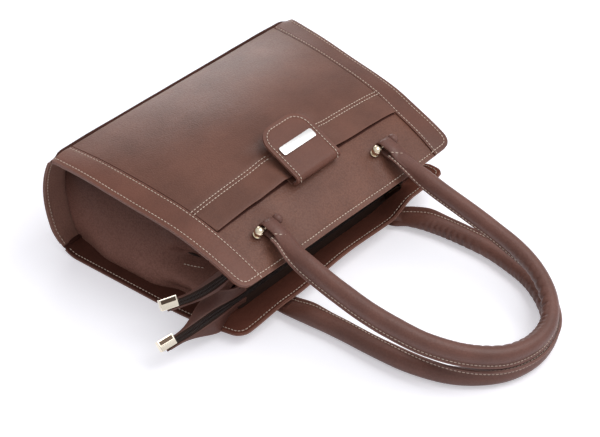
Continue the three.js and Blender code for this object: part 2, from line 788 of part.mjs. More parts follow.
add('front_pocket', sheet({
  point: frontPoint,
  rows: rowsBetween(frontRows, pocketEdgeY, frontStart),
  span: (y) => [-wingLine(y) + 2 * seamGap, wingLine(y) - 2 * seamGap],
  columns: evenly(16),
  inside: pocketLift,
  outside: (x, y) => pocketLift(x, y) + leather,
}), leatherFinish);

// Pocket tab: a strap on the panel and a flap that folds back over the pocket edge
add('tab_strap', sheet({
  point: frontPoint,
  rows: rowsBetween(frontRows, foldY, strapEnd),
  span: () => [tabOffset - tabWidth / 2, tabOffset + tabWidth / 2],
  columns: evenly(3),
  inside: seamGap,
  outside: seamGap + tabStrap,
}), leatherFinish);

const foldSlope = Math.atan(frontSlope(tabOffset, foldY));
const foldRise = 2 * seamGap + tabStrap + foldRadius;
const foldCentre = frontPoint(tabOffset, foldY)
  .add(vector(0, -Math.sin(foldSlope), Math.cos(foldSlope)).multiplyScalar(foldRise));

// The flap leans so that the two halves of the snap meet
const flapUnder = foldRadius - tabThickness;
const snapY = foldY + snap.fromFold;
const snapSeat = frontHeight(tabOffset, snapY) + pocketLift(tabOffset, snapY) + leather + 2 * seamGap;
const snapTop = snapSeat + 2 * snap.thickness + 2 * seamGap;
const snapAim = vector(0, snapY - foldCentre.y, snapTop - foldCentre.z);
const flapLean = Math.atan2(snapAim.z, snapAim.y) - Math.asin(flapUnder / snapAim.length());

const tabGroup = frameAt(foldCentre, flapLean);
const flapProfile = new THREE.Shape();
flapProfile.moveTo(tabLength, flapUnder);
flapProfile.lineTo(tabLength, foldRadius);
flapProfile.lineTo(0, foldRadius);
flapProfile.absarc(0, 0, foldRadius, Math.PI / 2, Math.PI * 1.5 - flapLean, false);
flapProfile.absarc(0, 0, flapUnder, Math.PI * 1.5 - flapLean, Math.PI / 2, true);
const flapBand = new THREE.ExtrudeGeometry(flapProfile, {
  depth: tabWidth,
  bevelEnabled: false,
  curveSegments: 8,
});
flapBand.translate(0, 0, -tabWidth / 2);
flapBand.rotateY(Math.PI / 2);
flapBand.rotateX(Math.PI / 2);
const flapPlan = new THREE.Shape();
flapPlan.moveTo(-tabWidth / 2, -2 * foldRadius);
flapPlan.lineTo(tabWidth / 2, -2 * foldRadius);
flapPlan.lineTo(tabWidth / 2, tabLength - tabCorner);
flapPlan.absarc(tabWidth / 2 - tabCorner, tabLength - tabCorner, tabCorner, 0, Math.PI / 2, false);
flapPlan.absarc(tabCorner - tabWidth / 2, tabLength - tabCorner, tabCorner, Math.PI / 2, Math.PI, false);
flapPlan.closePath();
const flapCutter = new THREE.ExtrudeGeometry(flapPlan, {
  depth: 4 * foldRadius,
  bevelEnabled: false,
  curveSegments: 6,
});
flapCutter.translate(0, 0, -2 * foldRadius);
add('pocket_tab', common(flapBand, flapCutter), leatherFinish, tabGroup);

// Bare metal plate on the flap
const plateOutline = new THREE.Shape();
const plateX = plate.width / 2 - plate.corner;
const plateY = plate.height / 2 - plate.corner;
plateOutline.absarc(plateX, plateY, plate.corner, 0, Math.PI / 2, false);
plateOutline.absarc(-plateX, plateY, plate.corner, Math.PI / 2, Math.PI, false);
plateOutline.absarc(-plateX, -plateY, plate.corner, Math.PI, Math.PI * 1.5, false);
plateOutline.absarc(plateX, -plateY, plate.corner, Math.PI * 1.5, Math.PI * 2, false);
const plateSolid = new THREE.ExtrudeGeometry(plateOutline, {
  depth: plate.thickness,
  bevelEnabled: false,
  curveSegments: 4,
});
plateSolid.translate(0, plate.fromFold, foldRadius + seamGap);
add('tab_plate', shape(solid(plateSolid)), silverFinish, tabGroup);

// Magnetic snap: one disc under the flap and one on the pocket
function snapDisc() {
  const disc = new THREE.CylinderGeometry(snap.radius, snap.radius, snap.thickness, 16);
  disc.rotateX(Math.PI / 2);
  return disc;
}
const snapAlong = Math.sqrt(snapAim.lengthSq() - flapUnder ** 2);
const flapSnap = snapDisc();
flapSnap.translate(0, snapAlong, flapUnder - seamGap - snap.thickness / 2);
add('tab_snap', flapSnap, goldFinish, tabGroup);
const pocketSnap = snapDisc();
pocketSnap.translate(0, snapAlong, flapUnder - 2 * seamGap - snap.thickness * 1.5);
add('pocket_snap', pocketSnap, goldFinish, frameAt(foldCentre, flapLean));

export default bag;
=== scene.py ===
import json
import math

import bmesh
import bpy
from mathutils import Matrix, Vector, noise


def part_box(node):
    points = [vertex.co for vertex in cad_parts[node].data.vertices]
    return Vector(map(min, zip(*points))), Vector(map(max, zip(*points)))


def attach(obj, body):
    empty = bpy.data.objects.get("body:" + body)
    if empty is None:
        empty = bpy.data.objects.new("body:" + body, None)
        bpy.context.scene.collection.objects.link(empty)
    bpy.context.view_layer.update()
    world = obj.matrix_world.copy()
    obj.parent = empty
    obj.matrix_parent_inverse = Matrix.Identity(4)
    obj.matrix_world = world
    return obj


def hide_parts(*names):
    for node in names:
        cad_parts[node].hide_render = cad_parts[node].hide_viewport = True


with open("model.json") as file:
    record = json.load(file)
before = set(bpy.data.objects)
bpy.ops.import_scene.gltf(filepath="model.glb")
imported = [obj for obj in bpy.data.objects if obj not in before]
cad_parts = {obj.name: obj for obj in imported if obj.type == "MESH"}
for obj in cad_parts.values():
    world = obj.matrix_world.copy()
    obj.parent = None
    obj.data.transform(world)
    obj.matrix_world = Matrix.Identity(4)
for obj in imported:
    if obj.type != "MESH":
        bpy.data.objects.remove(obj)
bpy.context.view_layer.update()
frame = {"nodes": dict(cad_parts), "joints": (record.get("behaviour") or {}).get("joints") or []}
mm = 0.001
bothSides = (("left", -1), ("right", 1))
print("frame loaded:", len(frame["nodes"]), "nodes")


def lerp(a, b, t):
    return a + (b - a) * t


def ease(t):
    t = min(max(t, 0.0), 1.0)
    return t * t * (3 - 2 * t)


def rise(value, start, run):
    return ease((value - start) / run)


def hill(x, centre, width):
    return math.exp(-((x - centre) / width) ** 2)


def hills(x, rows):
    return sum(height * hill(x, centre, width) for height, centre, width in rows)


def steps(low, high, count):
    return [lerp(low, high, i / count) for i in range(count + 1)]


def marks(low, high, step, extra=(), lip=0.8):
    found = steps(low, high, max(2, round((high - low) / step)))
    found += [v for v in (low + lip, high - lip, *extra) if low < v < high]
    kept = []
    for v in sorted(found):
        if not kept or v - kept[-1] > 0.2:
            kept.append(v)
    kept[-1] = high
    return kept


def shares(low, high, step, extra=(), lip=0.8, whole=100):
    return [v / whole for v in marks(low, high, step, extra, lip)]


def sided(sign, u):
    return u if sign > 0 else 1 - u


def jointAt(name):
    return next(j for j in frame["joints"] if j["name"] == name)["pos_m"]


# Node maths: a wire is an output socket that takes part in Python expressions
class Wire:
    def __init__(self, owner, socket):
        self.owner = owner
        self.socket = socket

    def maths(self, operation, first, second):
        return self.owner.node("ShaderNodeMath", {"operation": operation}, {0: first, 1: second})

    def __add__(self, other):
        return self.maths("ADD", self, other)

    def __sub__(self, other):
        return self.maths("SUBTRACT", self, other)

    def __rsub__(self, other):
        return self.maths("SUBTRACT", other, self)

    def __mul__(self, other):
        return self.maths("MULTIPLY", self, other)

    __radd__ = __add__
    __rmul__ = __mul__


class Nodes:
    def __init__(self, tree):
        self.tree = tree

    def node(self, kind, settings=None, sockets=None, output=0):
        made = self.tree.nodes.new(kind)
        for key, value in (settings or {}).items():
            setattr(made, key, value)
        for key, value in (sockets or {}).items():
            self.feed(made.inputs[key], value)
        return Wire(self, made.outputs[output])

    def feed(self, socket, value):
        if isinstance(value, Wire):
            self.tree.links.new(value.socket, socket)
        else:
            socket.default_value = value

    def place(self):
        return self.node("ShaderNodeTexCoord", output="Object")

    def edge(self):
        return self.node("ShaderNodeAttribute", {"attribute_name": "edge"}, output="Fac")

    def mapped(self, place, scale, turn=(0, 0, 0)):
        return self.node("ShaderNodeMapping", {}, {"Vector": place, "Scale": scale, "Rotation": turn})

    def cloud(self, place, size, detail=3.0, rough=0.5):
        sockets = {"Vector": place, "Scale": 1 / (size * mm), "Detail": detail, "Roughness": rough}
        return self.node("ShaderNodeTexNoise", {}, sockets, "Fac")

    def bands(self, place, direction, scale, distortion):
        settings = {"wave_type": "BANDS", "bands_direction": direction}
        sockets = {"Vector": place, "Scale": scale, "Distortion": distortion}
        return self.node("ShaderNodeTexWave", settings, sockets, "Fac")

    def ramp(self, value, low, high):
        return self.node("ShaderNodeMapRange", {"clamp": True}, {0: value, 1: low, 2: high, 3: 0.0, 4: 1.0})

    def blend(self, share, first, second, kind="MIX"):
        sockets = {0: share, 6: first, 7: second}
        return self.node("ShaderNodeMix", {"data_type": "RGBA", "blend_type": kind}, sockets, 2)

    def light(self, kind):
        return self.node("ShaderNodeLightPath", output=kind)


class Finish(Nodes):
    def __init__(self, name, fixed):
        self.material = bpy.data.materials.new(name)
        self.material.use_nodes = True
        super().__init__(self.material.node_tree)
        self.shader = self.tree.nodes["Principled BSDF"]
        for key, value in fixed.items():
            self.shader.inputs[key].default_value = value

    def bumped(self, height, strength, distance):
        return self.node("ShaderNodeBump", {}, {"Height": height, "Strength": strength, "Distance": distance})

    def ends(self, links):
        for key, value in links.items():
            self.feed(self.shader.inputs[key], value)
        return self.material


def shade(r, g, b):
    return (r, g, b, 1.0)


# Leather: pebble grain, fine creases, cloudy tone, paler rubbed edges, and optional painted shade that
# darkens it with height
leatherLook = {
    "pebble": 1.7, "smooth": 0.55, "crease": 5.0, "cloud": 48.0, "warp": 9, "fine": 0.45,
    "grainDepth": 0.00045, "bump": 0.38, "rough": (0.36, 0.52), "pitShare": 0.22, "rubShare": 0.7,
}


def leather(name, tone, deep, edge, grain=1.0, sheen=0.30, soilAndPaintedShade=None):
    look = leatherLook
    finish = Finish(name, {"Specular IOR Level": sheen})
    place = finish.place()
    warp = finish.cloud(place, look["warp"], 2.0)
    cells = finish.node(
        "ShaderNodeTexVoronoi", {"feature": "SMOOTH_F1"},
        {"Vector": place, "Scale": 1 / (look["pebble"] * mm), "Smoothness": look["smooth"]}, "Distance")
    fine = finish.cloud(place, look["fine"], 2.0, 0.6)
    crease = finish.cloud(finish.mapped(place, (0.35, 1.0, 1.0), (0, 0, 0.5)), look["crease"], 4.0, 0.62)
    cloud = finish.cloud(place, look["cloud"], 3.0, 0.55)
    rubbed = finish.ramp(finish.edge() + 0.35 * warp, 0.75, 1.15)
    mottle = finish.ramp(cloud + 0.25 * crease, 0.42, 0.80)
    pits = finish.ramp(cells, 0.25, 0.75)
    pitTone = shade(deep[0] * 0.55, deep[1] * 0.5, deep[2] * 0.5)
    body = finish.blend(mottle, shade(*deep), shade(*tone))
    body = finish.blend(pits * (look["pitShare"] * grain), body, pitTone)
    body = finish.blend(rubbed * look["rubShare"], body, shade(*edge))
    # Painted shade: the colour is multiplied towards a darker tone higher up, standing in for shade under an
    # overhang
    if soilAndPaintedShade:
        height = finish.node("ShaderNodeSeparateXYZ", {}, {"Vector": place}, "Z")
        dull = finish.ramp(height + 0.02 * (cloud - 0.5), soilAndPaintedShade["from"], soilAndPaintedShade["to"])
        body = finish.blend(1.0, body, finish.blend(dull, shade(1, 1, 1), soilAndPaintedShade["tone"]), "MULTIPLY")
    low, high = look["rough"]
    rough = low + (high - low) * (0.5 * crease + 0.5 * pits)
    relief = (1 - cells) * grain + 0.35 * fine + 0.9 * crease
    normal = finish.bumped(relief, look["bump"], look["grainDepth"])
    return finish.ends({"Base Color": body, "Roughness": rough, "Normal": normal})


bodyLeather = leather(
    "pebbledLeather", (0.168, 0.070, 0.046), (0.120, 0.049, 0.032), (0.225, 0.102, 0.074), 0.75)
# The front panel's leather: a stronger grain, and a brighter tone that is painted light on the strip between
# pocket and mouth
litStripLeather = leather(
    "litStripLeather", (0.192, 0.080, 0.051), (0.140, 0.057, 0.037), (0.235, 0.108, 0.078), 1.7)
bandLeather = leather(
    "bandLeather", (0.178, 0.070, 0.046), (0.134, 0.052, 0.034), (0.225, 0.102, 0.076), 0.7)
# Painted shade: a darker copy of the band leather for the far band, standing in for the shade that falls on
# it
shadedFarBandLeather = leather(
    "shadedFarBandLeather", (0.146, 0.058, 0.039), (0.110, 0.043, 0.028), (0.195, 0.088, 0.066), 0.7)
handleLeather = leather(
    "handleLeather", (0.168, 0.069, 0.0495), (0.121, 0.050, 0.036), (0.200, 0.092, 0.070), 1.1, 0.42)
innerLeather = leather(
    "innerLeather", (0.172, 0.063, 0.043), (0.125, 0.045, 0.031), (0.200, 0.088, 0.064), 0.8, 0.0)
# Painted shade: a darker copy of the inner leather for the back wing linings, standing in for the shade under
# the bag's overhang
shadedWingLeather = leather(
    "shadedWingLeather", (0.094, 0.036, 0.026), (0.070, 0.027, 0.019), (0.150, 0.066, 0.050), 0.8, 0.0)
# Painted shade on the gussets: a light tone low down, multiplied darker higher up where the front wing shades
# them
gussetPaintedShade = {"from": 0.022, "to": 0.090, "tone": shade(0.20, 0.165, 0.15)}
gussetLeather = leather(
    "gussetLeather", (0.268, 0.128, 0.098), (0.208, 0.097, 0.073), (0.240, 0.114, 0.089), 1.9, 0.08,
    gussetPaintedShade)
# Painted light: a brighter copy of the leather for the wing linings and backings, lighting them up inside the
# hollows at the bag's ends
litWingLeather = leather(
    "litWingLeather", (0.285, 0.146, 0.111), (0.226, 0.116, 0.088), (0.210, 0.106, 0.082), 1.2)
tailLeather = leather(
    "tailLeather", (0.128, 0.056, 0.043), (0.092, 0.040, 0.031), (0.180, 0.082, 0.063), 0.8)
pipingLeather = leather(
    "pipingLeather", (0.072, 0.028, 0.021), (0.050, 0.020, 0.015), (0.110, 0.046, 0.035), 0.6, 0.04)


def thread():
    finish = Finish("creamThread", {"Specular IOR Level": 0.3})
    place = finish.place()
    twist = finish.bands(place, "DIAGONAL", 900.0, 1.5)
    soilAndPaintedShade = finish.cloud(place, 30, 2.0)
    fibre = finish.blend(0.3 * twist + 0.5 * soilAndPaintedShade, shade(0.78, 0.64, 0.53), shade(0.52, 0.40, 0.31))
    normal = finish.bumped(twist, 0.3, 0.0001)
    return finish.ends({"Base Color": fibre, "Roughness": 0.55 + 0.25 * twist, "Normal": normal})


def weave(name, warpTone, weftTone, pitch, rough=0.85):
    finish = Finish(name, {"Specular IOR Level": 0.2})
    place = finish.place()
    scale = math.pi / (pitch * mm)
    warp = finish.bands(place, "X", scale / 10, 0.4)
    weft = finish.bands(finish.mapped(place, (1, 1, 1), (0.7, 0, 0)), "Y", scale / 10, 0.4)
    fuzz = finish.cloud(place, 0.8, 3.0, 0.6)
    colour = finish.blend(0.7 * warp + 0.3 * fuzz, warpTone, weftTone)
    normal = finish.bumped(warp * weft + 0.3 * fuzz, 0.4, 0.0003)
    return finish.ends({"Base Color": colour, "Roughness": rough - 0.15 * fuzz, "Normal": normal})


def metal(name, tone, dull, rough, brushed, hollow=None):
    finish = Finish(name, {"Metallic": 1.0})
    place = finish.place()
    brush = finish.cloud(finish.mapped(place, (0.08, 1, 1)), 0.5, 3.0, 0.6)
    smear = finish.cloud(place, 4, 3.0, 0.6)
    colour = finish.blend(0.5 * finish.ramp(smear, 0.5, 0.8), tone, dull)
    if hollow:
        colour = finish.blend(finish.ramp(finish.edge(), 0.2, 0.9), colour, hollow)
    roughness = rough + 0.10 * smear + (0.14 * brushed) * brush
    normal = finish.bumped(brush, 0.05 + 0.1 * brushed, 0.00005)
    return finish.ends({"Base Color": colour, "Roughness": roughness, "Normal": normal})


def coil():
    finish = Finish("coilNylon", {"Specular IOR Level": 0.5})
    worn = finish.cloud(finish.place(), 6, 3.0)
    colour = finish.blend(finish.ramp(worn, 0.4, 0.7), shade(0.022, 0.014, 0.012), shade(0.040, 0.025, 0.020))
    return finish.ends({"Base Color": colour, "Roughness": 0.35 + 0.2 * worn})


threadFinish = thread()
liningFinish = weave("liningCloth", shade(0.040, 0.024, 0.020), shade(0.058, 0.036, 0.030), 0.6)
tapeFinish = weave("zipTapeWeave", shade(0.026, 0.014, 0.010), shade(0.044, 0.024, 0.018), 0.9, 0.75)
boardFinish = weave("fibreBoard", shade(0.20, 0.16, 0.12), shade(0.26, 0.21, 0.16), 1.6)
cordFinish = weave("cottonCord", shade(0.45, 0.38, 0.29), shade(0.58, 0.50, 0.39), 1.2)
goldFinish = metal("paleGold", shade(0.88, 0.76, 0.56), shade(0.74, 0.60, 0.40), 0.08, 0.0)
capHollow = shade(0.10, 0.07, 0.05)
capFinish = metal("cappedGold", shade(0.92, 0.84, 0.70), shade(0.80, 0.70, 0.54), 0.12, 0.0, capHollow)
# Painted shade: the sliders and pulls get a guessed finish, a dark bronze that stands in for the shade inside
# the zip's slot
shadedBronzeFinish = metal("shadedDarkBronze", shade(0.068, 0.043, 0.026), shade(0.040, 0.026, 0.017), 0.30, 0.6)
silverFinish = metal("satinSilver", shade(0.80, 0.79, 0.77), shade(0.70, 0.69, 0.67), 0.27, 1.0)
coilFinish = coil()
print("finishes made")


# Mesh helpers: points are in millimetres in the part's frame
def placed(name, data):
    thing = bpy.data.objects.new(name, data)
    bpy.context.scene.collection.objects.link(thing)
    return thing


def newPiece(name, points, faces, finish, edges=(), rub=None):
    mesh = bpy.data.meshes.new(name)
    mesh.from_pydata([Vector(p) * mm for p in points], list(edges), list(faces))
    mesh.update()
    if rub is not None:
        mesh.attributes.new("edge", "FLOAT", "POINT").data.foreach_set("value", rub)
    if finish:
        mesh.materials.append(finish)
    if faces:
        mesh.shade_smooth()
    return placed(name, mesh)


def settle(piece):
    deps = bpy.context.evaluated_depsgraph_get()
    mesh = bpy.data.meshes.new_from_object(piece.evaluated_get(deps))
    piece.modifiers.clear()
    piece.data = mesh


def rounded(piece, width, angle):
    bevel = piece.modifiers.new("edgeRound", "BEVEL")
    bevel.limit_method = "ANGLE"
    bevel.angle_limit = math.radians(angle)
    bevel.width = width * mm
    bevel.segments = 3


def loft(name, rings, finish, closed=True, caps=True, rub=None):
    size = len(rings[0])
    faces = []
    for j in range(len(rings) - 1):
        for i in range(size if closed else size - 1):
            a = j * size + i
            b = j * size + (i + 1) % size
            faces.append((a, b, b + size, a + size))
    if caps:
        last = (len(rings) - 1) * size
        faces.append(tuple(range(size - 1, -1, -1)))
        faces.append(tuple(range(last, last + size)))
    return newPiece(name, [p for ring in rings for p in ring], faces, finish, rub=rub)


def skin(name, surface, us, vs, thickness, finish, rim=0.45):
    wide, tall = len(us), len(vs)

    def nearEdge(i, j):
        ring = min(i, j, wide - 1 - i, tall - 1 - j)
        return (1.0, 0.55)[ring] if ring < 2 else 0.0

    rub = [nearEdge(i, j) for j in range(tall) for i in range(wide)]
    piece = loft(name, [[surface(u, v) for u in us] for v in vs], finish, False, False, rub)
    wall = piece.modifiers.new("thickness", "SOLIDIFY")
    wall.thickness = thickness * mm
    wall.offset = -1
    wall.use_even_offset = False
    rounded(piece, rim * thickness, 55)
    settle(piece)
    piece.data.shade_smooth()
    return piece


def lathe(name, profile, finish, sides=24):
    turns = [2 * math.pi * i / sides for i in range(sides)]
    rings = [[(r * math.cos(t), r * math.sin(t), height) for t in turns] for r, height in profile]
    return loft(name, rings, finish)


def joinPieces(name, pieces):
    bm = bmesh.new()
    for piece in pieces:
        bm.from_mesh(piece.data)
    mesh = bpy.data.meshes.new(name)
    bm.to_mesh(mesh)
    bm.free()
    mesh.materials.append(pieces[0].data.materials[0])
    mesh.shade_smooth()
    for piece in pieces:
        bpy.data.objects.remove(piece)
    return placed(name, mesh)


def moved(piece, matrix):
    piece.data.transform(matrix)
    return piece


def facedOut(piece):
    bm = bmesh.new()
    bm.from_mesh(piece.data)
    bmesh.ops.recalc_face_normals(bm, faces=bm.faces)
    bm.to_mesh(piece.data)
    bm.free()
    return piece


def keep(piece, body, slot, *nodes):
    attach(piece, body)
    if nodes:
        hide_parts(*nodes)
    return piece


def bagSkin(name, surface, us, vs, thickness, finish, slot, *nodes):
    keep(skin(name, surface, us, vs, thickness, finish), "bag", slot, *nodes)


def roundedCopy(node, name, width, finish):
    bm = bmesh.new()
    bm.from_mesh(frame["nodes"][node].data)
    bmesh.ops.remove_doubles(bm, verts=bm.verts, dist=0.01 * mm)
    bmesh.ops.dissolve_limit(bm, angle_limit=math.radians(3), verts=bm.verts, edges=bm.edges)
    mesh = bpy.data.meshes.new(name)
    bm.to_mesh(mesh)
    bm.free()
    mesh.materials.append(finish)
    piece = placed(name, mesh)
    rounded(piece, width, 28)
    settle(piece)
    piece.data.shade_smooth()
    return piece


# One node tree lays small rounded pieces along a path: stitches and zip teeth
def rowTree():
    tree = bpy.data.node_groups.new("rowOfPieces", "GeometryNodeTree")
    kinds = {"Path": "Geometry", "Pitch": "Float", "Along": "Float", "Across": "Float", "Height": "Float",
             "Wobble": "Float", "Seed": "Int", "Finish": "Material"}
    for label, kind in kinds.items():
        tree.interface.new_socket(label, in_out="INPUT", socket_type="NodeSocket" + kind)
    tree.interface.new_socket("Row", in_out="OUTPUT", socket_type="NodeSocketGeometry")
    build = Nodes(tree)
    node = build.node
    given = {label: node("NodeGroupInput", output=label) for label in kinds}
    curve = node("GeometryNodeMeshToCurve", {}, {"Mesh": given["Path"]})
    evenly = node("GeometryNodeResampleCurve", {"mode": "LENGTH"}, {"Curve": curve, "Length": given["Pitch"]})
    run = node("GeometryNodeInputTangent")
    lie = node("GeometryNodeInputNamedAttribute", {"data_type": "FLOAT_VECTOR"}, {"Name": "lie"})
    aim = node("FunctionNodeAlignRotationToVector", {"axis": "X"}, {"Vector": run})
    roll = node("FunctionNodeAlignRotationToVector", {"axis": "Y", "pivot_axis": "X"},
                {"Rotation": aim, "Vector": lie})
    wobble = given["Wobble"]
    sway = node("FunctionNodeRandomValue", {"data_type": "FLOAT"},
                {2: 1.0 - wobble, 3: 1.0 + wobble, "Seed": given["Seed"]}, 1)
    size = node("ShaderNodeCombineXYZ", {}, {"X": given["Along"], "Y": given["Across"], "Z": given["Height"]})
    grown = node("ShaderNodeVectorMath", {"operation": "SCALE"}, {"Vector": size, "Scale": sway})
    bead = node("GeometryNodeMeshUVSphere", {}, {"Segments": 7, "Rings": 5, "Radius": 0.5})
    laid = node("GeometryNodeInstanceOnPoints", {},
                {"Points": evenly, "Instance": bead, "Rotation": roll, "Scale": grown})
    real = node("GeometryNodeRealizeInstances", {}, {"Geometry": laid})
    soft = node("GeometryNodeSetShadeSmooth", {}, {"Geometry": real})
    dyed = node("GeometryNodeSetMaterial", {}, {"Geometry": soft, "Material": given["Finish"]})
    build.feed(tree.nodes.new("NodeGroupOutput").inputs["Row"], dyed)
    return tree


pieceRow = rowTree()


def layRow(name, paths, sizes, finish, seed):
    points, edges, lies = [], [], []
    for path in paths:
        start = len(points)
        for place, lie in path:
            points.append(place)
            lies.append(lie)
        edges += [(i, i + 1) for i in range(start, len(points) - 1)]
    piece = newPiece(name, points, [], None, edges)
    attribute = piece.data.attributes.new("lie", "FLOAT_VECTOR", "POINT")
    attribute.data.foreach_set("vector", [v for lie in lies for v in lie])
    row = piece.modifiers.new("row", "NODES")
    row.node_group = pieceRow
    values = {key: value * mm for key, value in sizes.items()}
    values.update({"Wobble": 0.06, "Seed": seed, "Finish": finish})
    for item in pieceRow.interface.items_tree:
        if item.in_out == "INPUT" and item.name in values:
            row[item.identifier] = values[item.name]
    settle(piece)
    if not piece.data.materials:
        piece.data.materials.append(finish)
    return piece


stitchSize = {"Pitch": 4.0, "Along": 3.3, "Across": 0.95, "Height": 0.85}
coilSize = {"Pitch": 1.5, "Along": 1.05, "Across": 2.5, "Height": 1.3}

# Form of the body, with the soft drop and ripple of real leather on top of the pattern's shape
bagForm = {
    "height": 248, "baseWidth": 360, "mouthWidth": 320, "depth": 120, "restToBase": 85,
    "mouthDrop": 43, "crown": 12, "mouthSag": 4, "baseBulge": 17.5, "backSetback": 3,
    "backCurl": 20, "backFlat": 150, "corner": 12, "wing": 28, "edgeDroop": 4.2, "ripple": 0.7,
    "frontRound": (7, 160, 18), "backRound": (24, 140, 36), "droopAt": (-22, 62), "rippleSize": (80, 55),
}
mouthY = bagForm["restToBase"] - bagForm["height"]
backMouthY = mouthY + bagForm["backSetback"]
baseLine = bagForm["restToBase"]
panelStart = baseLine - 2.15
facingY = mouthY + 41
zipY = mouthY + 36
pocketEdgeY = mouthY + 57
seamGap = 0.35
leatherThickness = 1.6
facingThickness = 1.3
facingLift = -leatherThickness - 0.2
liningLift = facingLift - facingThickness

# Dents and swells of the front: height, slant, centre and width across, centre and width along
dentSlantFrom = -128
frontDents = (
    (-1.7, 0.4, -68, 9, -130, 22), (-1.1, -0.3, 64, 10, -134, 20), (0.9, 0, -18, 34, -138, 18),
    (-3.6, 0, 147, 15, -108, 20), (-1.3, -1, -55, 9, -138, 18),
)
# The front's mouth edge lies further out towards the far end: across and down are start and run
slipForm = {"by": -2.2, "across": (-30, 130), "down": (125, 38)}
# The back's curled edge: waves as height, length and phase, lifts as height, side, start and run
backWaves = ((1.6, 38, 0.6), (1.2, 21, 2.0))
backLifts = ((13, 1, 70, 36), (3, 1, 110, 40), (-8, -1, 92, 60))
backSwell = {"height": 14, "start": 139, "run": 20, "centre": 0.72, "width": 0.2}


def along(y):
    return (baseLine - y) / bagForm["height"]


def halfWidth(y):
    return lerp(bagForm["baseWidth"], bagForm["mouthWidth"], along(y)) / 2


def wingLine(y):
    return halfWidth(y) - bagForm["wing"]


def cornered(width, radius, past):
    return width - radius + math.sqrt(max(radius ** 2 - past ** 2, 0))


def roundedHalf(y, mouth):
    radius = bagForm["corner"]
    return cornered(halfWidth(y), radius, radius - min(max(y - mouth, 0), radius))


def frontTop(x, y):
    t = along(y)
    half = halfWidth(y)
    crown = 4 * bagForm["crown"] * t * (1 - t) - bagForm["mouthSag"] * t ** 4
    droop = -bagForm["edgeDroop"] * (abs(x) / half) ** 5 * hill(y, *bagForm["droopAt"])
    wide, long = bagForm["rippleSize"]
    ripple = bagForm["ripple"] * noise.noise(Vector((x / wide, y / long, 1.7)))
    dents = sum(
        height * hill(x + slant * (y - dentSlantFrom), across, width) * hill(y, down, length)
        for height, slant, across, width, down, length in frontDents
    )
    flat = bagForm["depth"] - bagForm["mouthDrop"] * t ** 3
    return flat + (1 - (x / half) ** 2) * crown + droop + ripple + dents


def cornerTuck(x, back, up, corner):
    # Rounds a corner at the base: back and up are distances from it along the panel and the base
    radius, begin, over = bagForm[corner]
    size = lerp(radius * 0.2, radius, rise(abs(x), begin, over)) * rise(abs(x), begin - 36, 36)
    if size < 0.1 or max(back, up) >= size:
        return 0.0, 0.0
    if back > up:
        turn = (size - back) / (2 * size) * math.pi / 2
        return back - size + size * math.sin(turn), size - size * math.cos(turn)
    turn = math.pi / 4 + up / (2 * size) * math.pi / 2
    return size * math.sin(turn) - size, size - size * math.cos(turn) - up


def mouthSlip(x, y):
    return slipForm["by"] * rise(x, *slipForm["across"]) * rise(-y, *slipForm["down"])


def upFrom(top, x, y):
    d = 0.5
    dx = (top(x + d, y) - top(x - d, y)) / (2 * d)
    dy = (top(x, y + d) - top(x, y - d)) / (2 * d)
    return Vector((-dx, -dy, 1)).normalized()


def frontPoint(x, y, lift=0.0):
    inY, inZ = cornerTuck(x, max(baseLine - y, 0), 0, "frontRound")
    place = Vector((x, y + mouthSlip(x, y) + inY, frontTop(x, y) - inZ))
    return place + upFrom(frontTop, x, y) * lift


def backTop(x, y):
    curlLength = bagForm["height"] - bagForm["backSetback"] - bagForm["backFlat"]
    past = max(0, baseLine - bagForm["backFlat"] - y) / curlLength
    wave = sum(height * math.sin(x / length + phase) for height, length, phase in backWaves)
    lift = sum(height * rise(side * x, start, run) for height, side, start, run in backLifts)
    swell = backSwell["height"] * rise(x, backSwell["start"], backSwell["run"])
    swell *= hill(past, backSwell["centre"], backSwell["width"])
    return bagForm["backCurl"] * past ** 2 + (wave + lift) * past ** 3 + swell


def backPoint(x, y, lift=0.0):
    inY, inZ = cornerTuck(x, max(baseLine - y, 0), 0, "backRound")
    return Vector((x, y + inY, backTop(x, y) + inZ)) - upFrom(backTop, x, y) * lift


def baseY(z):
    half = bagForm["depth"] / 2
    return baseLine + bagForm["baseBulge"] * (1 - ((z - half) / half) ** 2)


def basePoint(x, z, lift=0.0):
    lowY, lowZ = cornerTuck(x, 0, max(z, 0), "backRound")
    highY, highZ = cornerTuck(x, 0, max(bagForm["depth"] - z, 0), "frontRound")
    return Vector((x, baseY(z) + lowY + highY + lift, z + lowZ - highZ))


def rimDistance(dx, dy, radius):
    if dx < radius and dy < radius:
        return radius - math.hypot(radius - dx, radius - dy)
    return min(dx, dy)


def edgeDistance(x, y, mouth):
    return rimDistance(halfWidth(y) - abs(x), y - mouth, bagForm["corner"])


def groove(distance, depth=0.3, width=0.9):
    return -depth * math.exp(-(distance / width) ** 2)


# Panels
panelForm = {"edgeStitch": 4.2, "bandStitch": 2.6, "grid": 5.0, "bandLift": 1.75, "bandThickness": 1.4,
             "pad": 0.35, "backingInset": 1.5, "rimInset": 0.3, "backingGap": 0.15}
mouthMarks = [mouthY + d for d in (0.9, 2.2, 3.4, 4.2, 5.0, 6.2, 8, 10, 12)]
frontRows = marks(mouthY, panelStart, panelForm["grid"], mouthMarks)
frontShares = shares(-100, 100, 2.2, (), 0.5)


def frontPanelAt(u, y):
    x = u * roundedHalf(y, mouthY)
    return frontPoint(x, y, groove(edgeDistance(x, y, mouthY) - panelForm["edgeStitch"]))


bagSkin("frontPanel", frontPanelAt, frontShares, frontRows, leatherThickness, litStripLeather,
        "leather", "front_panel")


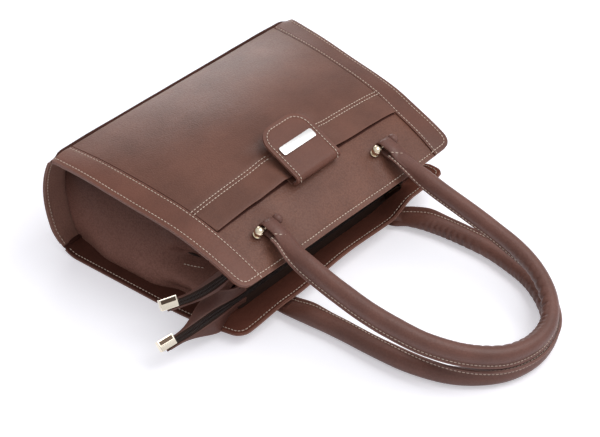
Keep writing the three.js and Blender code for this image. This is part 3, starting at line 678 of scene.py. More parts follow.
def bandPiece(side, sign):
    def at(u, y):
        inner = wingLine(y)
        x = sign * lerp(inner, roundedHalf(y, mouthY), sided(sign, u))
        past = abs(x) - inner
        pad = panelForm["pad"] * math.sin(math.pi * min(max(past / bagForm["wing"], 0), 1))
        sink = groove(edgeDistance(x, y, mouthY) - panelForm["edgeStitch"])
        return frontPoint(x, y, panelForm["bandLift"] + pad + sink + groove(past - panelForm["bandStitch"]))

    def backingAt(u, y):
        inner = wingLine(y) + panelForm["backingInset"]
        x = sign * lerp(inner, roundedHalf(y, mouthY) - panelForm["rimInset"], sided(sign, u))
        return frontPoint(x, y, -leatherThickness - panelForm["backingGap"])

    columns = shares(0, 28, 2.0, (1.9, 2.6, 3.3, 23.0, 23.8, 24.6), 0.7, 28)
    # The far band takes the darker copy, which is painted shade
    finish = bandLeather if sign < 0 else shadedFarBandLeather
    bagSkin(f"frontBand.{side}", at, columns, frontRows, panelForm["bandThickness"], finish,
            "leather", f"front_{side}_band")
    bagSkin(f"frontWingBacking.{side}", backingAt, steps(0, 1, 8), marks(facingY + 1, panelStart + 0.6, 6.0),
            facingThickness, litWingLeather, "dark_leather")


for side, sign in bothSides:
    bandPiece(side, sign)


def frontFacingAt(u, y):
    return frontPoint(u * roundedHalf(y, mouthY), y, facingLift)


bagSkin("frontFacing", frontFacingAt, frontShares[::2], marks(mouthY + 0.4, facingY - 0.4, 4.0),
        facingThickness, innerLeather, "dark_leather", "front_facing")


backEdge = {"wave": 1.5, "length": 46, "phase": 1.1, "end": 165, "slip": (100, 55)}


def backMouthAt(x):
    wave = backEdge["wave"] * math.sin(x / backEdge["length"] + backEdge["phase"])
    return backMouthY + wave * (1 - (x / backEdge["end"]) ** 2)


def backSlipped(x, y):
    return y + (backMouthAt(x) - backMouthY) * rise(-y, *backEdge["slip"])


def backPanelAt(u, y):
    x = -u * roundedHalf(y, backMouthY)
    return backPoint(x, backSlipped(x, y), 0)


backRows = marks(backMouthY, panelStart, 7.0, [backMouthY + d for d in (0.9, 2, 3, 4.2, 5.4, 8, 12)])
backShares = shares(-100, 100, 2.5, (), 0.5)
bagSkin("backPanel", backPanelAt, backShares, backRows, leatherThickness, bodyLeather,
        "leather", "back_panel")


def backFacingAt(u, y):
    x = u * (roundedHalf(y, backMouthY) - panelForm["rimInset"])
    rim = edgeDistance(x, y, backMouthY)
    return backPoint(x, backSlipped(x, y), liningLift - groove(rim - panelForm["edgeStitch"]))


backFacingRows = marks(backMouthY + 0.4, facingY - 0.4, 4.0, [backMouthY + d for d in (3.4, 4.2, 5.0)])
bagSkin("backFacing", backFacingAt, backShares, backFacingRows, facingThickness, innerLeather,
        "dark_leather", "back_facing")


def wingLiningPiece(side, sign):
    def across(u, y):
        x = sign * lerp(wingLine(y) - 2.5, halfWidth(y) - 0.4, sided(sign, u))
        return x, groove(halfWidth(y) - abs(x) - panelForm["edgeStitch"])

    def at(u, y):
        x, sink = across(u, y)
        return backPoint(x, y, liningLift - sink)

    def baseAt(u, z):
        x, sink = across(u, baseLine)
        return basePoint(x, z, liningLift + sink)

    columns = shares(0, 30, 2.6, (25, 25.8, 26.6) if sign > 0 else (3.4, 4.2, 5.0), 0.7, 30)
    bagSkin(f"backWingLining.{side}", at, columns, marks(facingY + 1, baseLine - 0.4, 6.0), facingThickness,
            shadedWingLeather, "dark_leather")
    bagSkin(f"baseWingLining.{side}", baseAt, columns, marks(3.0, 117.6, 5.0), facingThickness,
            litWingLeather, "dark_leather")


for side, sign in bothSides:
    wingLiningPiece(side, sign)


baseForm = {"soft": 0.6, "softSize": (90, 40), "hold": 30, "back": 5.4, "front": 114.6}


def basePanelAt(x, z):
    rim = halfWidth(baseLine) - abs(x)
    wide, long = baseForm["softSize"]
    soft = baseForm["soft"] * noise.noise(Vector((x / wide, z / long, 7.3))) * ease(rim / baseForm["hold"])
    return basePoint(-x, z, soft + groove(rim - panelForm["edgeStitch"]))


baseEnd = bagForm["baseWidth"] / 2
baseColumns = marks(-baseEnd, baseEnd, 6.0, [s * (baseEnd - d) for s in (-1, 1) for d in (3.4, 4.2, 5.0)])
bagSkin("basePanel", basePanelAt, baseColumns, marks(baseForm["back"], baseForm["front"], 5.0),
        leatherThickness, bodyLeather, "leather", "base_panel")

pipingForm = {"radius": 2.5, "seat": 1.8, "sway": 0.25, "tipSize": 0.55, "nextSize": 0.85,
              "taper": (0.5, 5, 10)}


def pipingPiece(name, z, corner, node):
    radius = pipingForm["radius"]
    thin, begin, over = pipingForm["taper"]
    ends = (0, 0.5, 1.6)
    rings = []
    for x in [-baseEnd + d for d in ends] + steps(-176, 176, 80) + [baseEnd - d for d in ends[::-1]]:
        reach = baseEnd - abs(x)
        tip = pipingForm["tipSize"] if reach < 0.2 else pipingForm["nextSize"] if reach < 1 else 1.0
        size = radius * tip * lerp(thin, 1, rise(reach, begin, over))
        sway = pipingForm["sway"] * noise.noise(Vector((x / 24, z, 2.2)))
        inY, inZ = cornerTuck(x, 0, 0, corner)
        inZ = inZ if corner == "backRound" else -inZ
        y = baseLine - pipingForm["seat"] + radius + sway + inY - (radius - size)
        turns = steps(0, 2 * math.pi, 12)[:-1]
        rings.append([(x, y + size * math.cos(a), z + inZ + size * math.sin(a)) for a in turns])
    keep(loft(name, rings, pipingLeather), "bag", "dark_leather", node)


pipingPiece("frontPiping", bagForm["depth"] + 0.3, "frontRound", "front_piping")
pipingPiece("backPiping", pipingForm["radius"], "backRound", "back_piping")
print("panels made")

# Gussets: set in behind the wings, folding inwards to a pinched fold at the mouth
# Valleys, slumps and lips are height, centre and width; pinch, lineAt and slumpAt are start and run
gussetForm = {
    "fold": 26, "inset": 2.3, "baseInset": 5.45, "stop": 4, "thickness": 1.4, "crease": 1.3, "crumple": 2.4,
    "pinch": (0.44, 0.14), "line": (0.30, 0.46), "lineAt": (0.5, 0.32), "slumpAt": (0.02, 0.2), "hold": 0.12,
    "valleys": ((0.45, 0, 0.2), (1.2, 0.03, 0.08)), "slumps": ((9.5, 0.64, 0.22), (-10, 0.06, 0.2)),
    "lips": ((10, 0.2, 0.11), (4.5, 0.72, 0.18)),
}


def gussetAt(sign, share, b):
    inset = gussetForm["inset"]
    guess = lerp(inset, bagForm["depth"] - inset, share)
    y = lerp(facingY + gussetForm["stop"], baseY(guess) - gussetForm["baseInset"], b)
    held = min(y, baseLine)
    reach = along(held)
    seam = wingLine(held)
    low = backTop(sign * seam, y) + inset
    high = frontTop(sign * seam, held) - inset * 1.05
    depth = gussetForm["fold"] * min(max(reach, 0), 1)
    mouth = rise(reach, *gussetForm["pinch"])
    even = (1 - math.cos(2 * math.pi * share)) / 2
    line = lerp(*gussetForm["line"], rise(reach, *gussetForm["lineAt"]))
    valley = hills(share, [(height, line + aside, width) for height, aside, width in gussetForm["valleys"]])
    slump = hills(share, gussetForm["slumps"]) * rise(reach, *gussetForm["slumpAt"])
    fold = lerp(0.12 * depth * even + slump, depth * (0.2 * even + 0.9 * valley), mouth)
    lip = mouth * hills(share, gussetForm["lips"])
    crease = gussetForm["crease"] * noise.noise(Vector((share * 3.1, y / 26, 4.0 + sign)))
    crumple = gussetForm["crumple"] * mouth * noise.noise(Vector((share * 6, y / 13, 9.0 + sign)))
    hold = ease(share / gussetForm["hold"]) * ease((1 - share) / gussetForm["hold"])
    inwards = fold + (crease + crumple - lip) * hold
    return Vector((sign * (seam - inwards), y, lerp(low, high, share)))


gussetShares = shares(0, 100, 1.5)
for side, sign in bothSides:
    bagSkin(f"{side}Gusset", lambda a, b, s=sign: gussetAt(s, sided(s, a), b), gussetShares, gussetShares,
            gussetForm["thickness"], gussetLeather, "dark_leather", f"{side}_gusset")
print("gussets made")

# Slip pocket and its tab
pocketForm = {"rows": (-74.8, -78.6), "rise": 2.7, "reach": 28, "blend": 22, "lip": 1.2, "gape": (3.4, 2.0),
              "gapeFrom": (-2, 8), "gapeEnd": 60, "lipWidth": 14}
tabForm = {"offset": -2, "width": 64, "length": 60, "corner": 20, "thickness": 3, "strap": 1.3, "overhang": 5,
           "hold": 28, "fold": 6, "stitch": 4.2, "spring": 2.5, "plateAlong": 29.0,
           "plateShift": (-0.7, -0.5)}
tabEdge = tabForm["width"] / 2
foldY = pocketEdgeY - tabForm["overhang"]
strapEnd = pocketEdgeY + tabForm["hold"]


def pocketLift(x, y):
    apart = abs(x - tabForm["offset"])
    aside = tabEdge + pocketForm["reach"] - apart
    below = strapEnd + pocketForm["reach"] - y
    swell = pocketForm["rise"] * ease(aside / pocketForm["blend"]) * ease(below / pocketForm["blend"])
    gape = pocketForm["gape"][0 if x < tabForm["offset"] else 1]
    gape *= rise(apart - tabEdge, *pocketForm["gapeFrom"])
    gape *= ease((wingLine(y) - abs(x)) / pocketForm["gapeEnd"])
    lip = (pocketForm["lip"] + gape) * hill(y, pocketEdgeY, pocketForm["lipWidth"])
    return seamGap + leatherThickness + swell + lip


def pocketAt(u, y):
    x = u * (wingLine(y) - 0.7)
    sink = sum(groove(y - row, 0.28, 0.8) for row in pocketForm["rows"])
    return frontPoint(x, y, pocketLift(x, y) + sink)


# Painted shade: a dark sheet just inside the pocket's mouth, making the dark line of shade under the pocket's
# lip
def pocketShadowSheetAt(u, y):
    return frontPoint(u * (wingLine(y) - 2), y, 0.25)


def strapAt(u, y):
    return frontPoint(tabForm["offset"] + u, y, seamGap + tabForm["strap"])


rowMarks = [row + d for row in pocketForm["rows"] for d in (-0.8, 0, 0.8)]
pocketRows = marks(pocketEdgeY, panelStart, 4.5, rowMarks + [pocketEdgeY + 2.5])
bagSkin("frontPocket", pocketAt, frontShares, pocketRows, leatherThickness, bodyLeather,
        "leather", "front_pocket")
bagSkin("pocketShadowSheet", pocketShadowSheetAt, frontShares, marks(pocketEdgeY - 1.3, pocketEdgeY + 30, 4.0), 0.2,
        pipingLeather, "leather")
bagSkin("tabStrap", strapAt, marks(-tabEdge, tabEdge, 4.0), marks(foldY, strapEnd, 4.0), tabForm["strap"],
        bodyLeather, "leather", "tab_strap")

# The flap springs open by a few degrees from the lean that the part gives its plate
tabCentre = Vector(jointAt("pocket_tab_lift")) / mm
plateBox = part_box("tab_plate")
plateTop = (plateBox[0] + plateBox[1]) / 2 / mm - tabCentre
plateAlong = tabForm["plateAlong"]
plateRise = math.sqrt(max(plateTop.y ** 2 + plateTop.z ** 2 - plateAlong ** 2, 0))
partLean = math.atan2(plateTop.z, plateTop.y) - math.atan2(plateRise, plateAlong)
flapLean = partLean + math.radians(tabForm["spring"])


def tabPoint(x, s, lift):
    # s runs from the strap end of the fold, through the fold at 0, to the tip
    outer = tabForm["fold"]
    if s >= 0:
        y, z, ny, nz = s, outer, 0.0, 1.0
    else:
        a = min(-s / outer, math.pi - flapLean)
        y, z = -outer * math.sin(a), outer * math.cos(a)
        ny, nz = -math.sin(a), math.cos(a)
    y, z = y + ny * lift, z + nz * lift
    c, n = math.cos(flapLean), math.sin(flapLean)
    return Vector((tabCentre.x + x, tabCentre.y + y * c - z * n, tabCentre.z + y * n + z * c))


def tabAt(u, s):
    corner = tabForm["corner"]
    x = u * cornered(tabEdge, corner, max(0.0, s - (tabForm["length"] - corner)))
    crown = 0.5 * (1 - u * u) * ease((s + 4) / 20)
    rim = rimDistance(tabEdge - abs(x), tabForm["length"] - s, corner)
    return tabPoint(x, s, crown + groove(rim - tabForm["stitch"], 0.35, 1.0))


foldEnd = -(math.pi - flapLean) * tabForm["fold"]
cornerStart = tabForm["length"] - tabForm["corner"]
tipRows = [tabForm["length"] - tabForm["corner"] * (1 - math.sin(a)) for a in steps(0, math.pi / 2, 12)]
tabRows = sorted(set(round(v, 3) for v in steps(foldEnd, 0, 12) + steps(0, cornerStart, 12) + tipRows))
tabShares = shares(-100, 100, 4.0, (-90, -87, -84, 84, 87, 90), 2.0)
tab = skin("pocketTab", tabAt, tabShares, tabRows, tabForm["thickness"], bandLeather, 0.3)
keep(tab, "pocket_tab", "leather", "pocket_tab")

spring = (Matrix.Translation(tabCentre * mm) @ Matrix.Rotation(flapLean - partLean, 4, "X")
          @ Matrix.Translation(-tabCentre * mm))
plate = moved(roundedCopy("tab_plate", "tabPlate", 0.35, silverFinish), spring)
acrossTab, alongTab = tabForm["plateShift"]
slide = Vector((acrossTab, alongTab * math.cos(flapLean), alongTab * math.sin(flapLean) + 0.4))
moved(plate, Matrix.Translation(slide * mm))
keep(plate, "pocket_tab", "silver_metal", "tab_plate")
tabDisc = moved(roundedCopy("tab_snap", "tabMagnet", 0.4, goldFinish), spring)
keep(tabDisc, "pocket_tab", "gold_metal", "tab_snap")
pocketDisc = roundedCopy("pocket_snap", "pocketMagnet", 0.4, goldFinish)
keep(pocketDisc, "bag", "gold_metal", "pocket_snap")
print("pocket and tab made")

# Ball-ended bars on the panels
barForm = {"ball": 5.3, "spacing": 26, "standoff": 6.3, "post": 1.9, "washer": 4.6, "cover": 5.65,
           "neck": 0.44, "pole": 0.02, "frontSeat": -130.5, "rearSeat": -135}
quarterTurn = Matrix.Rotation(math.pi / 2, 4, "Y")


def ballArc(radius, start, end, count, centre=0.0):
    return [(radius * math.sin(a), centre - radius * math.cos(a)) for a in steps(start, end, count)]


def barPiece(node):
    low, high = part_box(node)
    middleX = ((low + high) / 2 / mm).x
    rear = node.startswith("rear")
    axis = Vector(jointAt(("rear" if rear else "front") + "_handle_swing")) / mm
    reach = barForm["spacing"] / 2
    ball, neck, pole = barForm["ball"], barForm["neck"], barForm["pole"]
    profile = ballArc(ball, pole, math.pi - neck, 12, -reach) + ballArc(ball, neck, math.pi - pole, 12, reach)
    parts = [moved(lathe("rod", profile, goldFinish), quarterTurn)]
    foot = seamGap - barForm["standoff"]
    post, washer = barForm["post"], barForm["washer"]
    stem = [(post, foot), (post, -1.5), (post, 0)]
    rim = [(0.2, foot), (washer, foot), (washer, foot + 0.7), (washer - 0.5, foot + 1.1), (0.2, foot + 1.2)]
    for sign in (-1, 1):
        for outline in (stem, rim):
            part = lathe("part", outline, goldFinish, 20)
            parts.append(moved(part, Matrix.Translation(Vector((sign * reach, 0, 0)) * mm)))
    piece = joinPieces("bar." + node, parts)
    seat = barForm["frontSeat"]
    turn = math.atan((frontTop(middleX, seat + 1) - frontTop(middleX, seat - 1)) / 2)
    if rear:
        seat = barForm["rearSeat"]
        turn = math.pi + math.atan(backTop(0, seat + 0.5) - backTop(0, seat - 0.5))
    moved(piece, Matrix.Translation(Vector((middleX, axis.y, axis.z)) * mm) @ Matrix.Rotation(turn, 4, "X"))
    keep(piece, "bag", "gold_metal", node)
    if not rear:
        # The ball on the far side is covered in leather
        cover = ballArc(barForm["cover"], pole, math.pi - pole, 14)
        hood = moved(lathe("hood." + node, cover, handleLeather), quarterTurn)
        moved(hood, Matrix.Translation(Vector((middleX + reach, axis.y, axis.z)) * mm))
        keep(hood, "bag", "leather")


for node in ("front_left_bar", "front_right_bar", "rear_left_bar", "rear_right_bar"):
    barPiece(node)

# Rolled handles: routes are (across, distance from the bars) in the handle's plane, angles are in degrees
handleForm = {
    "finWall": 1.5, "neck": 0.62, "taper": 46, "flat": 0.42, "core": 5.6, "coreInset": 16, "spacing": 1.5,
    "strapWall": 1.1, "strapFrom": 5, "strapTo": 34, "strapEnd": (1.7, 9), "settle": 16,
    "pucker": (0.4, 2.1, 8.5), "swell": 0.35, "leanRun": 55, "finRun": (20, 50),
}
frontHandle = {
    "route": [
        (-92.5, 4), (-92.6, 22), (-96.4, 43), (-96.6, 70), (-94.8, 104), (-91.5, 134), (-85.4, 162),
        (-74.7, 193.5), (-55.4, 224.5), (-28, 249), (1.6, 259.4), (29.8, 258.6), (51.2, 248.8), (69.4, 231.2),
        (83, 206), (89.4, 175.6), (89.9, 144.6), (88.2, 109.6), (85.9, 75.2), (85.6, 43), (85.5, 18),
        (85.5, 4),
    ],
    "leans": (227, 133), "rootLeans": (282, 78), "turn": (0.58, 0.2), "radii": (9.2, 8.5), "fins": (4.2, 2.8),
    "rootFin": 0.9, "rootWidth": 1.0, "spread": 46, "start": 10, "seamed": True,
    "bends": ((0.49, 75), (0.61, 50)), "wraps": (4.9, 4.9), "strap": (7.4, 7.4), "tip": (256, 31.9),
}
rearHandle = {
    "route": [
        (-89, 4), (-89.5, 14), (-89.2, 36), (-84, 83.5), (-81, 129.5), (-73, 175.3), (-56.8, 210.6),
        (-29.3, 237), (3.6, 247.6), (32.6, 245.2), (61, 232.8), (86.5, 206.2), (103, 174.6), (110.8, 136.2),
        (112.4, 105.2), (108.8, 61), (99.5, 25), (91.5, 12), (89, 4),
    ],
    "leans": (50, -48), "rootLeans": (50, -48), "turn": (0.14, 0.36), "radii": (9.0, 8.9), "fins": (2.6, 4.2),
    "rootFin": 1.8, "rootWidth": 1.22, "spread": 96, "start": 5, "seamed": False,
    "bends": ((0.67, 75), (0.88, 40)), "wraps": (5.0, 3.6), "strap": (8.0, 7.0), "height": 9.6,
}


def spline(route, spacing):
    points = [Vector((x, -v, 0)) for x, v in route]
    points = [2 * points[0] - points[1]] + points + [2 * points[-1] - points[-2]]
    fine = []
    for i in range(1, len(points) - 2):
        p0, p1, p2, p3 = points[i - 1:i + 3]
        for k in range(24):
            t = k / 24
            fine.append(0.5 * (2 * p1 + (p2 - p0) * t + (2 * p0 - 5 * p1 + 4 * p2 - p3) * t ** 2
                               + (3 * p1 - p0 - 3 * p2 + p3) * t ** 3))
    fine.append(points[-2])
    run = [0.0]
    for a, b in zip(fine, fine[1:]):
        run.append(run[-1] + (b - a).length)
    total = run[-1]
    count = round(total / spacing)
    even, k = [], 0
    for i in range(count + 1):
        want = total * i / count
        while k < len(run) - 2 and run[k + 1] < want:
            k += 1
        share = (want - run[k]) / max(run[k + 1] - run[k], 1e-9)
        even.append(fine[k].lerp(fine[k + 1], share))
    return even, total


def handlePiece(name, form, droop, lift):
    pivot = Vector(jointAt(f"{name}_handle_swing")) / mm
    toBag = Matrix.Translation((0, pivot.y, pivot.z)) @ Matrix.Rotation(droop, 4, "X")
    up = Vector((0, 0, 1))
    points, total = spline(form["route"], handleForm["spacing"])
    last = len(points) - 1
    stations = []
    for i, p in enumerate(points):
        s = total * i / last
        near = min(s, total - s)
        run = (points[min(i + 1, last)] - points[max(i - 1, 0)]).normalized()
        stations.append((p + up * lift * ease(near / handleForm["taper"]), up.cross(run), near, s))

    # The rolled leather, with the two edges of its seam as a fin
    rings, rub, rows = [], [], [[], []]
    wall = handleForm["finWall"]
    base, fall, beatLength = handleForm["pucker"]
    angles = steps(handleForm["neck"], 2 * math.pi - handleForm["neck"], 30)
    flankRub = [0.0, 0.2, 0.5, 0.8, 1.0, 1.0]
    ringRub = ([0.0] * len(angles) + flankRub + [0.2] + flankRub[::-1])[::-1]
    for place, side, near, s in stations:
        past = near - form["start"]
        if past < 0:
            continue
        tall = lerp(handleForm["flat"], 1.0, ease(past / handleForm["taper"]))
        wide = lerp(form["rootWidth"], 1.0, ease(past / form["spread"]))
        begin, over = form["turn"]
        turned = rise(s / total, begin, over)
        rootLean = form["rootLeans"][0 if s < total / 2 else 1]
        lean = math.radians(lerp(rootLean, lerp(*form["leans"], turned), ease(past / handleForm["leanRun"])))
        finUp, finSide = math.cos(lean), math.sin(lean)
        radius = lerp(*form["radii"], ease(s / total))
        bend = sum(hill(s, total * middle, reach) for middle, reach in form["bends"])
        bend *= 0.75 + 0.9 * noise.noise(Vector((s / 9, 5.0, lift)))
        swell = handleForm["swell"] * noise.noise(Vector((s / 34, 2.0, lift)))

        def spot(x, y):
            a = x * finUp + y * finSide
            b = y * finUp - x * finSide
            return toBag @ (place + side * (a * wide) + up * (b * tall))

        section = []
        for a in angles:
            towards = max(0.0, math.sin(a + lean)) ** 3
            beat = math.sin(math.pi * s / beatLength + 1.9 * math.sin(s / 17) + 0.5 * math.sin(a * 2))
            reach = radius + swell + towards * bend * (base - fall * abs(beat) ** 5)
            section.append((reach * math.sin(a), reach * math.cos(a)))
        fin = lerp(*form["fins"], turned) * lerp(form["rootFin"], 1.0, rise(near, *handleForm["finRun"]))
        top = radius + fin
        flank = [(wall * 1.9, radius * 0.94), (wall * 1.15, radius + 0.5), (wall, radius + fin * 0.45),
                 (wall, top - 0.6), (wall * 0.7, top), (0.25, top)]
        section += [(-x, y) for x, y in flank] + [(0, top - 0.6)] + flank[::-1]
        rings.append([spot(x, y) for x, y in section][::-1])
        rub += ringRub
        lie = (toBag.to_3x3() @ (side * finUp - up * finSide)).normalized()
        for row, edge in zip(rows, (-1, 1)):
            row.append((spot(edge * (wall * 1.08 + 0.1), radius + 1.2), lie))
    handle = loft(f"{name}Handle", rings, handleLeather, rub=rub)
    keep(handle, f"{name}_handle", "leather", f"{name}_handle")

    cords = []
    core = handleForm["core"]
    for place, side, near, s in stations:
        past = near - form["start"]
        if past >= handleForm["coreInset"]:
            thick = core * lerp(handleForm["flat"], 1.0, ease(past / handleForm["taper"]))
            cords.append([
                toBag @ (place + side * (core * math.sin(-a)) + up * (thick * math.cos(a)))
                for a in steps(0, 2 * math.pi, 12)[:-1]
            ])
    cord = loft(f"{name}HandleCord", cords, cordFinish)
    keep(cord, f"{name}_handle", "handle_core", f"{name}_handle_core")

    # A flat strap at each end wraps the bar
    loops = []
    wall = handleForm["strapWall"]
    over, under = form["wraps"]
    broad, narrow = form["strap"]
    endRise, endWidth = handleForm["strapEnd"]
    for end, order in enumerate((stations, stations[::-1])):
        start = Vector((order[0][0].x, 0, 0))
        upper, lower = [], []
        for place, side, near, s in order[:len(order) // 2]:
            if handleForm["strapFrom"] < near < handleForm["strapTo"]:
                settled = rise(near, handleForm["strapFrom"], handleForm["settle"])
                for half, edge, n, width in ((upper, over, up, broad), (lower, under, -up, narrow)):
                    centre = place + n * lerp(edge, endRise, settled)
                    half.append((centre, n, lerp(width, endWidth, settled)))
        line = upper[::-1]
        for t in steps(0.0, 1.0, 12):
            n = Vector((0, math.sin(t * math.pi), math.cos(t * math.pi)))
            line.append((start + n * lerp(over, under, t), n, lerp(broad, narrow, t)))
        strapRings = []
        for centre, n, w in line + lower:
            outline = [(-w, 0), (-w + 0.5, wall), (w - 0.5, wall)]
            outline += [(-x, -z) for x, z in outline]
            strapRings.append([toBag @ (centre + Vector((x, 0, 0)) + n * z) for x, z in outline])
        loops.append(loft(f"{name}Loop{end}", strapRings, handleLeather))
        if form["seamed"]:
            seam = []
            for k in range(9):
                centre, n, w = upper[3 + k // 2]
                stitch = centre + Vector((lerp(-w + 2, w - 6, k / 8), 0, 0)) + n * (wall + 0.1)
                seam.append((toBag @ stitch, toBag.to_3x3() @ n))
            rows.append(seam)
    straps = facedOut(joinPieces(f"{name}HandleLoops", loops))
    keep(straps, f"{name}_handle", "leather")
    stitches = layRow(f"{name}HandleStitches", rows, stitchSize, threadFinish, 3)
    keep(stitches, f"{name}_handle", "leather")


tipReach, tipHeight = frontHandle["tip"]
frontDroop = math.asin((jointAt("front_handle_swing")[2] / mm - tipHeight) / tipReach)
handlePiece("front", frontHandle, frontDroop, 0.0)
handlePiece("rear", rearHandle, 0.0, rearHandle["height"] - jointAt("rear_handle_swing")[2] / mm)
print("handles made")

# Zips: chain, tails and end caps
zipForm = {"end": wingLine(zipY) - 4, "rollShare": 0.4, "tipShare": 0.18, "tipStraight": 14, "flareAt": 0.72,
           "tip": 10.4, "gap": 0.8, "tape": 0.8, "strip": 4.6, "tail": 1.6, "flap": 1.2, "seat": 3.6,
           "sag": 3.2, "ripple": 0.6, "coilAside": 1.35, "coilRise": 1.1}
capForm = {"length": 18.4, "width": 11.4, "height": 6.0, "along": 2.5, "sunk": 0.5, "rise": 2.8,
           "slit": (0.6, 4.4)}
tailForm = {
    "front": {"reach": 74, "towards": 23, "drop": 19, "dip": 7, "turn": 20, "roll": 36, "flare": 15,
              "root": 16},
    "rear": {"reach": 95, "towards": 5, "drop": 2, "dip": -2, "turn": 5, "roll": 46, "flare": 37,
             "root": 27},
}


def bezier(points, t):
    a, b, c, d = points
    u = 1 - t
    return a * u ** 3 + b * (3 * u * u * t) + c * (3 * u * t * t) + d * t ** 3


class ZipPath:
    def __init__(self, name):
        low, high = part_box(f"{name}_zip_slider")
        end = zipForm["end"]
        form = tailForm[name]
        reach = form["reach"]
        self.z = (low.z + high.z) / 2 / mm
        self.roll = math.radians(form["roll"])
        self.tip = Vector((-end - reach, zipY + form["towards"], self.z - form["drop"]))
        root = Vector((-end, zipY, self.z))
        turn = math.radians(form["turn"])
        aim = Vector((math.cos(turn), -math.sin(turn), 0))
        bendStart = self.tip + aim * zipForm["tipStraight"]
        lead = Vector((-reach / 3, 0, -form["dip"]))
        self.points = (bendStart, bendStart + aim * reach / 3, root + lead, root)

    def place(self, a):
        share = zipForm["tipShare"]
        if a >= 1:
            return Vector((lerp(-zipForm["end"], zipForm["end"], a - 1), zipY, self.z))
        if a < share:
            return self.tip.lerp(self.points[0], a / share)
        return bezier(self.points, (a - share) / (1 - share))

    def frame(self, a):
        run = (self.place(a + 0.01) - self.place(a - 0.01)).normalized()
        up = (Vector((0, 0, 1)) - run * run.z).normalized()
        across = Matrix.Rotation(-self.roll * ease((1 - a) / zipForm["rollShare"]), 3, run) @ up
        return self.place(a), run, across, run.cross(across)

    def point(self, a, reach, lift):
        place, run, across, out = self.frame(a)
        return place + across * reach + out * lift


def capPiece(name, path):
    place, run, across, out = path.frame(0)
    centre = place + run * capForm["along"] - out * capForm["sunk"] + across * capForm["rise"]
    half = capForm["width"] / 2
    tall = capForm["height"] / 2
    near, far = capForm["slit"]
    upper = [
        (half, tall - 0.7), (half - 0.2, tall - 0.2), (half - 0.7, tall), (far + 0.1, tall),
        (far, tall - 0.3), (near, tall - 0.3), (near - 0.1, tall), (0.7 - half, tall),
        (0.2 - half, tall - 0.2), (-half, tall - 0.7),
    ]
    section = upper + [(-x, -min(z + 0.3, tall) if abs(x) < half - 1 else -z) for x, z in upper]
    end = capForm["length"] / 2
    rings, rub = [], []
    for t, size, dark in ((-end, 0.9, 0), (0.4 - end, 1, 0), (1.3 - end, 1, 0), (1.5 - end, 1, 1),
                          (end - 1.5, 1, 1), (end - 1.3, 1, 0), (end - 0.4, 1, 0), (end, 0.9, 0)):
        rings.append([centre + run * t + across * (x * size) + out * (z * size) for x, z in section])
        rub += [float(dark and k in (4, 5)) for k in range(len(section))]
    piece = facedOut(loft(name, rings, capFinish, rub=rub))
    piece.data.set_sharp_from_angle(angle=math.radians(28))
    return piece


def zipPieces(name):
    path = ZipPath(name)
    form = tailForm[name]
    tapeTop = zipForm["tape"] / 2

    def tailHalf(a):
        slim, flareAt = zipForm["tipShare"], zipForm["flareAt"]
        outer = lerp(zipForm["tip"], form["flare"], ease((a - slim) / (flareAt - slim)))
        return lerp(outer, form["root"], ease((a - flareAt) / (1 - flareAt))) / 2

    def softAt(a, reach, b):
        droop = (max(abs(reach) - 4.5, 0) / 9) ** 1.5 * ease(a / 0.3) * ease((1.06 - a) / 0.3)
        ripple = noise.noise(Vector((a * 7, b * 1.4, path.z))) * ease(a / 0.3) * ease((1.0 - a) / 0.2)
        return zipForm["ripple"] * ripple - zipForm["sag"] * droop

    def tailAt(a, b):
        reach = b * tailHalf(a)
        return path.point(a, reach, softAt(a, reach, b) - tapeTop - zipForm["gap"])

    bagSkin(f"{name}ZipTail", tailAt, shares(0, 106, 2.5), steps(-1, 1, 20), zipForm["tail"], tailLeather,
            "leather", f"{name}_zip_tail")

    for side, sign in (("upper", 1), ("lower", -1)):
        def flapAt(a, u):
            outer = tailHalf(a) + 0.3
            share = sided(sign, u)
            reach = sign * lerp(min(zipForm["strip"], outer - 1.2), outer, share)
            return path.point(a, reach, lerp(1.7, 0.2, ease(share)) + softAt(a, reach, reach / tailHalf(a)))

        bagSkin(f"{name}ZipFlap.{side}", flapAt, shares(4, 104, 2.5), steps(0, 1, 8), zipForm["flap"],
                tailLeather, "leather")

    def tapeAt(a, b):
        x = path.place(a).x
        narrow = min(zipForm["strip"] + 0.9, tailHalf(min(a, 1)) - 0.4)
        if name == "front":
            top = frontTop(x, zipY) - zipForm["seat"] - path.z
            bottom = path.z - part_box("front_wall")[0].z / mm
        else:
            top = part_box("rear_wall")[1].z / mm - path.z
            bottom = path.z - backTop(x, zipY) - zipForm["seat"]
        return path.point(a, lerp(narrow, top if b > 0 else bottom, ease((a - 0.96) / 0.06)) * b, tapeTop)

    tapeShares = [-1, -0.6, -0.3, -0.1, 0, 0.1, 0.3, 0.6, 1]
    bagSkin(f"{name}ZipTape", tapeAt, shares(2, 198, 2.0), tapeShares, zipForm["tape"], tapeFinish,
            "zip_tape", f"{name}_zip_outer_tape", f"{name}_zip_inner_tape")

    runs = steps(0.07, 1, 60) + steps(1.01, 1.98, 90)
    coilRise = tapeTop + zipForm["coilRise"]
    rows = [
        [(path.point(a, sign * zipForm["coilAside"], coilRise), path.frame(a)[2]) for a in runs]
        for sign in (-1, 1)
    ]
    keep(layRow(f"{name}ZipCoil", rows, coilSize, coilFinish, 5), "bag", "zip_tape")

    keep(capPiece(f"{name}ZipCap", path), "bag", "gold_metal", f"{name}_zip_cap")
    # The sliders and pulls take the dark bronze that stands in for the slot's shade
    for part, width in (("slider", 0.35), ("pull", 0.45)):
        piece = roundedCopy(f"{name}_zip_{part}", f"{name}Zip{part.title()}", width, shadedBronzeFinish)
        keep(piece, f"{name}_{part}", "bronze_metal", f"{name}_zip_{part}")


for name in ("front", "rear"):
    zipPieces(name)
print("zips made")

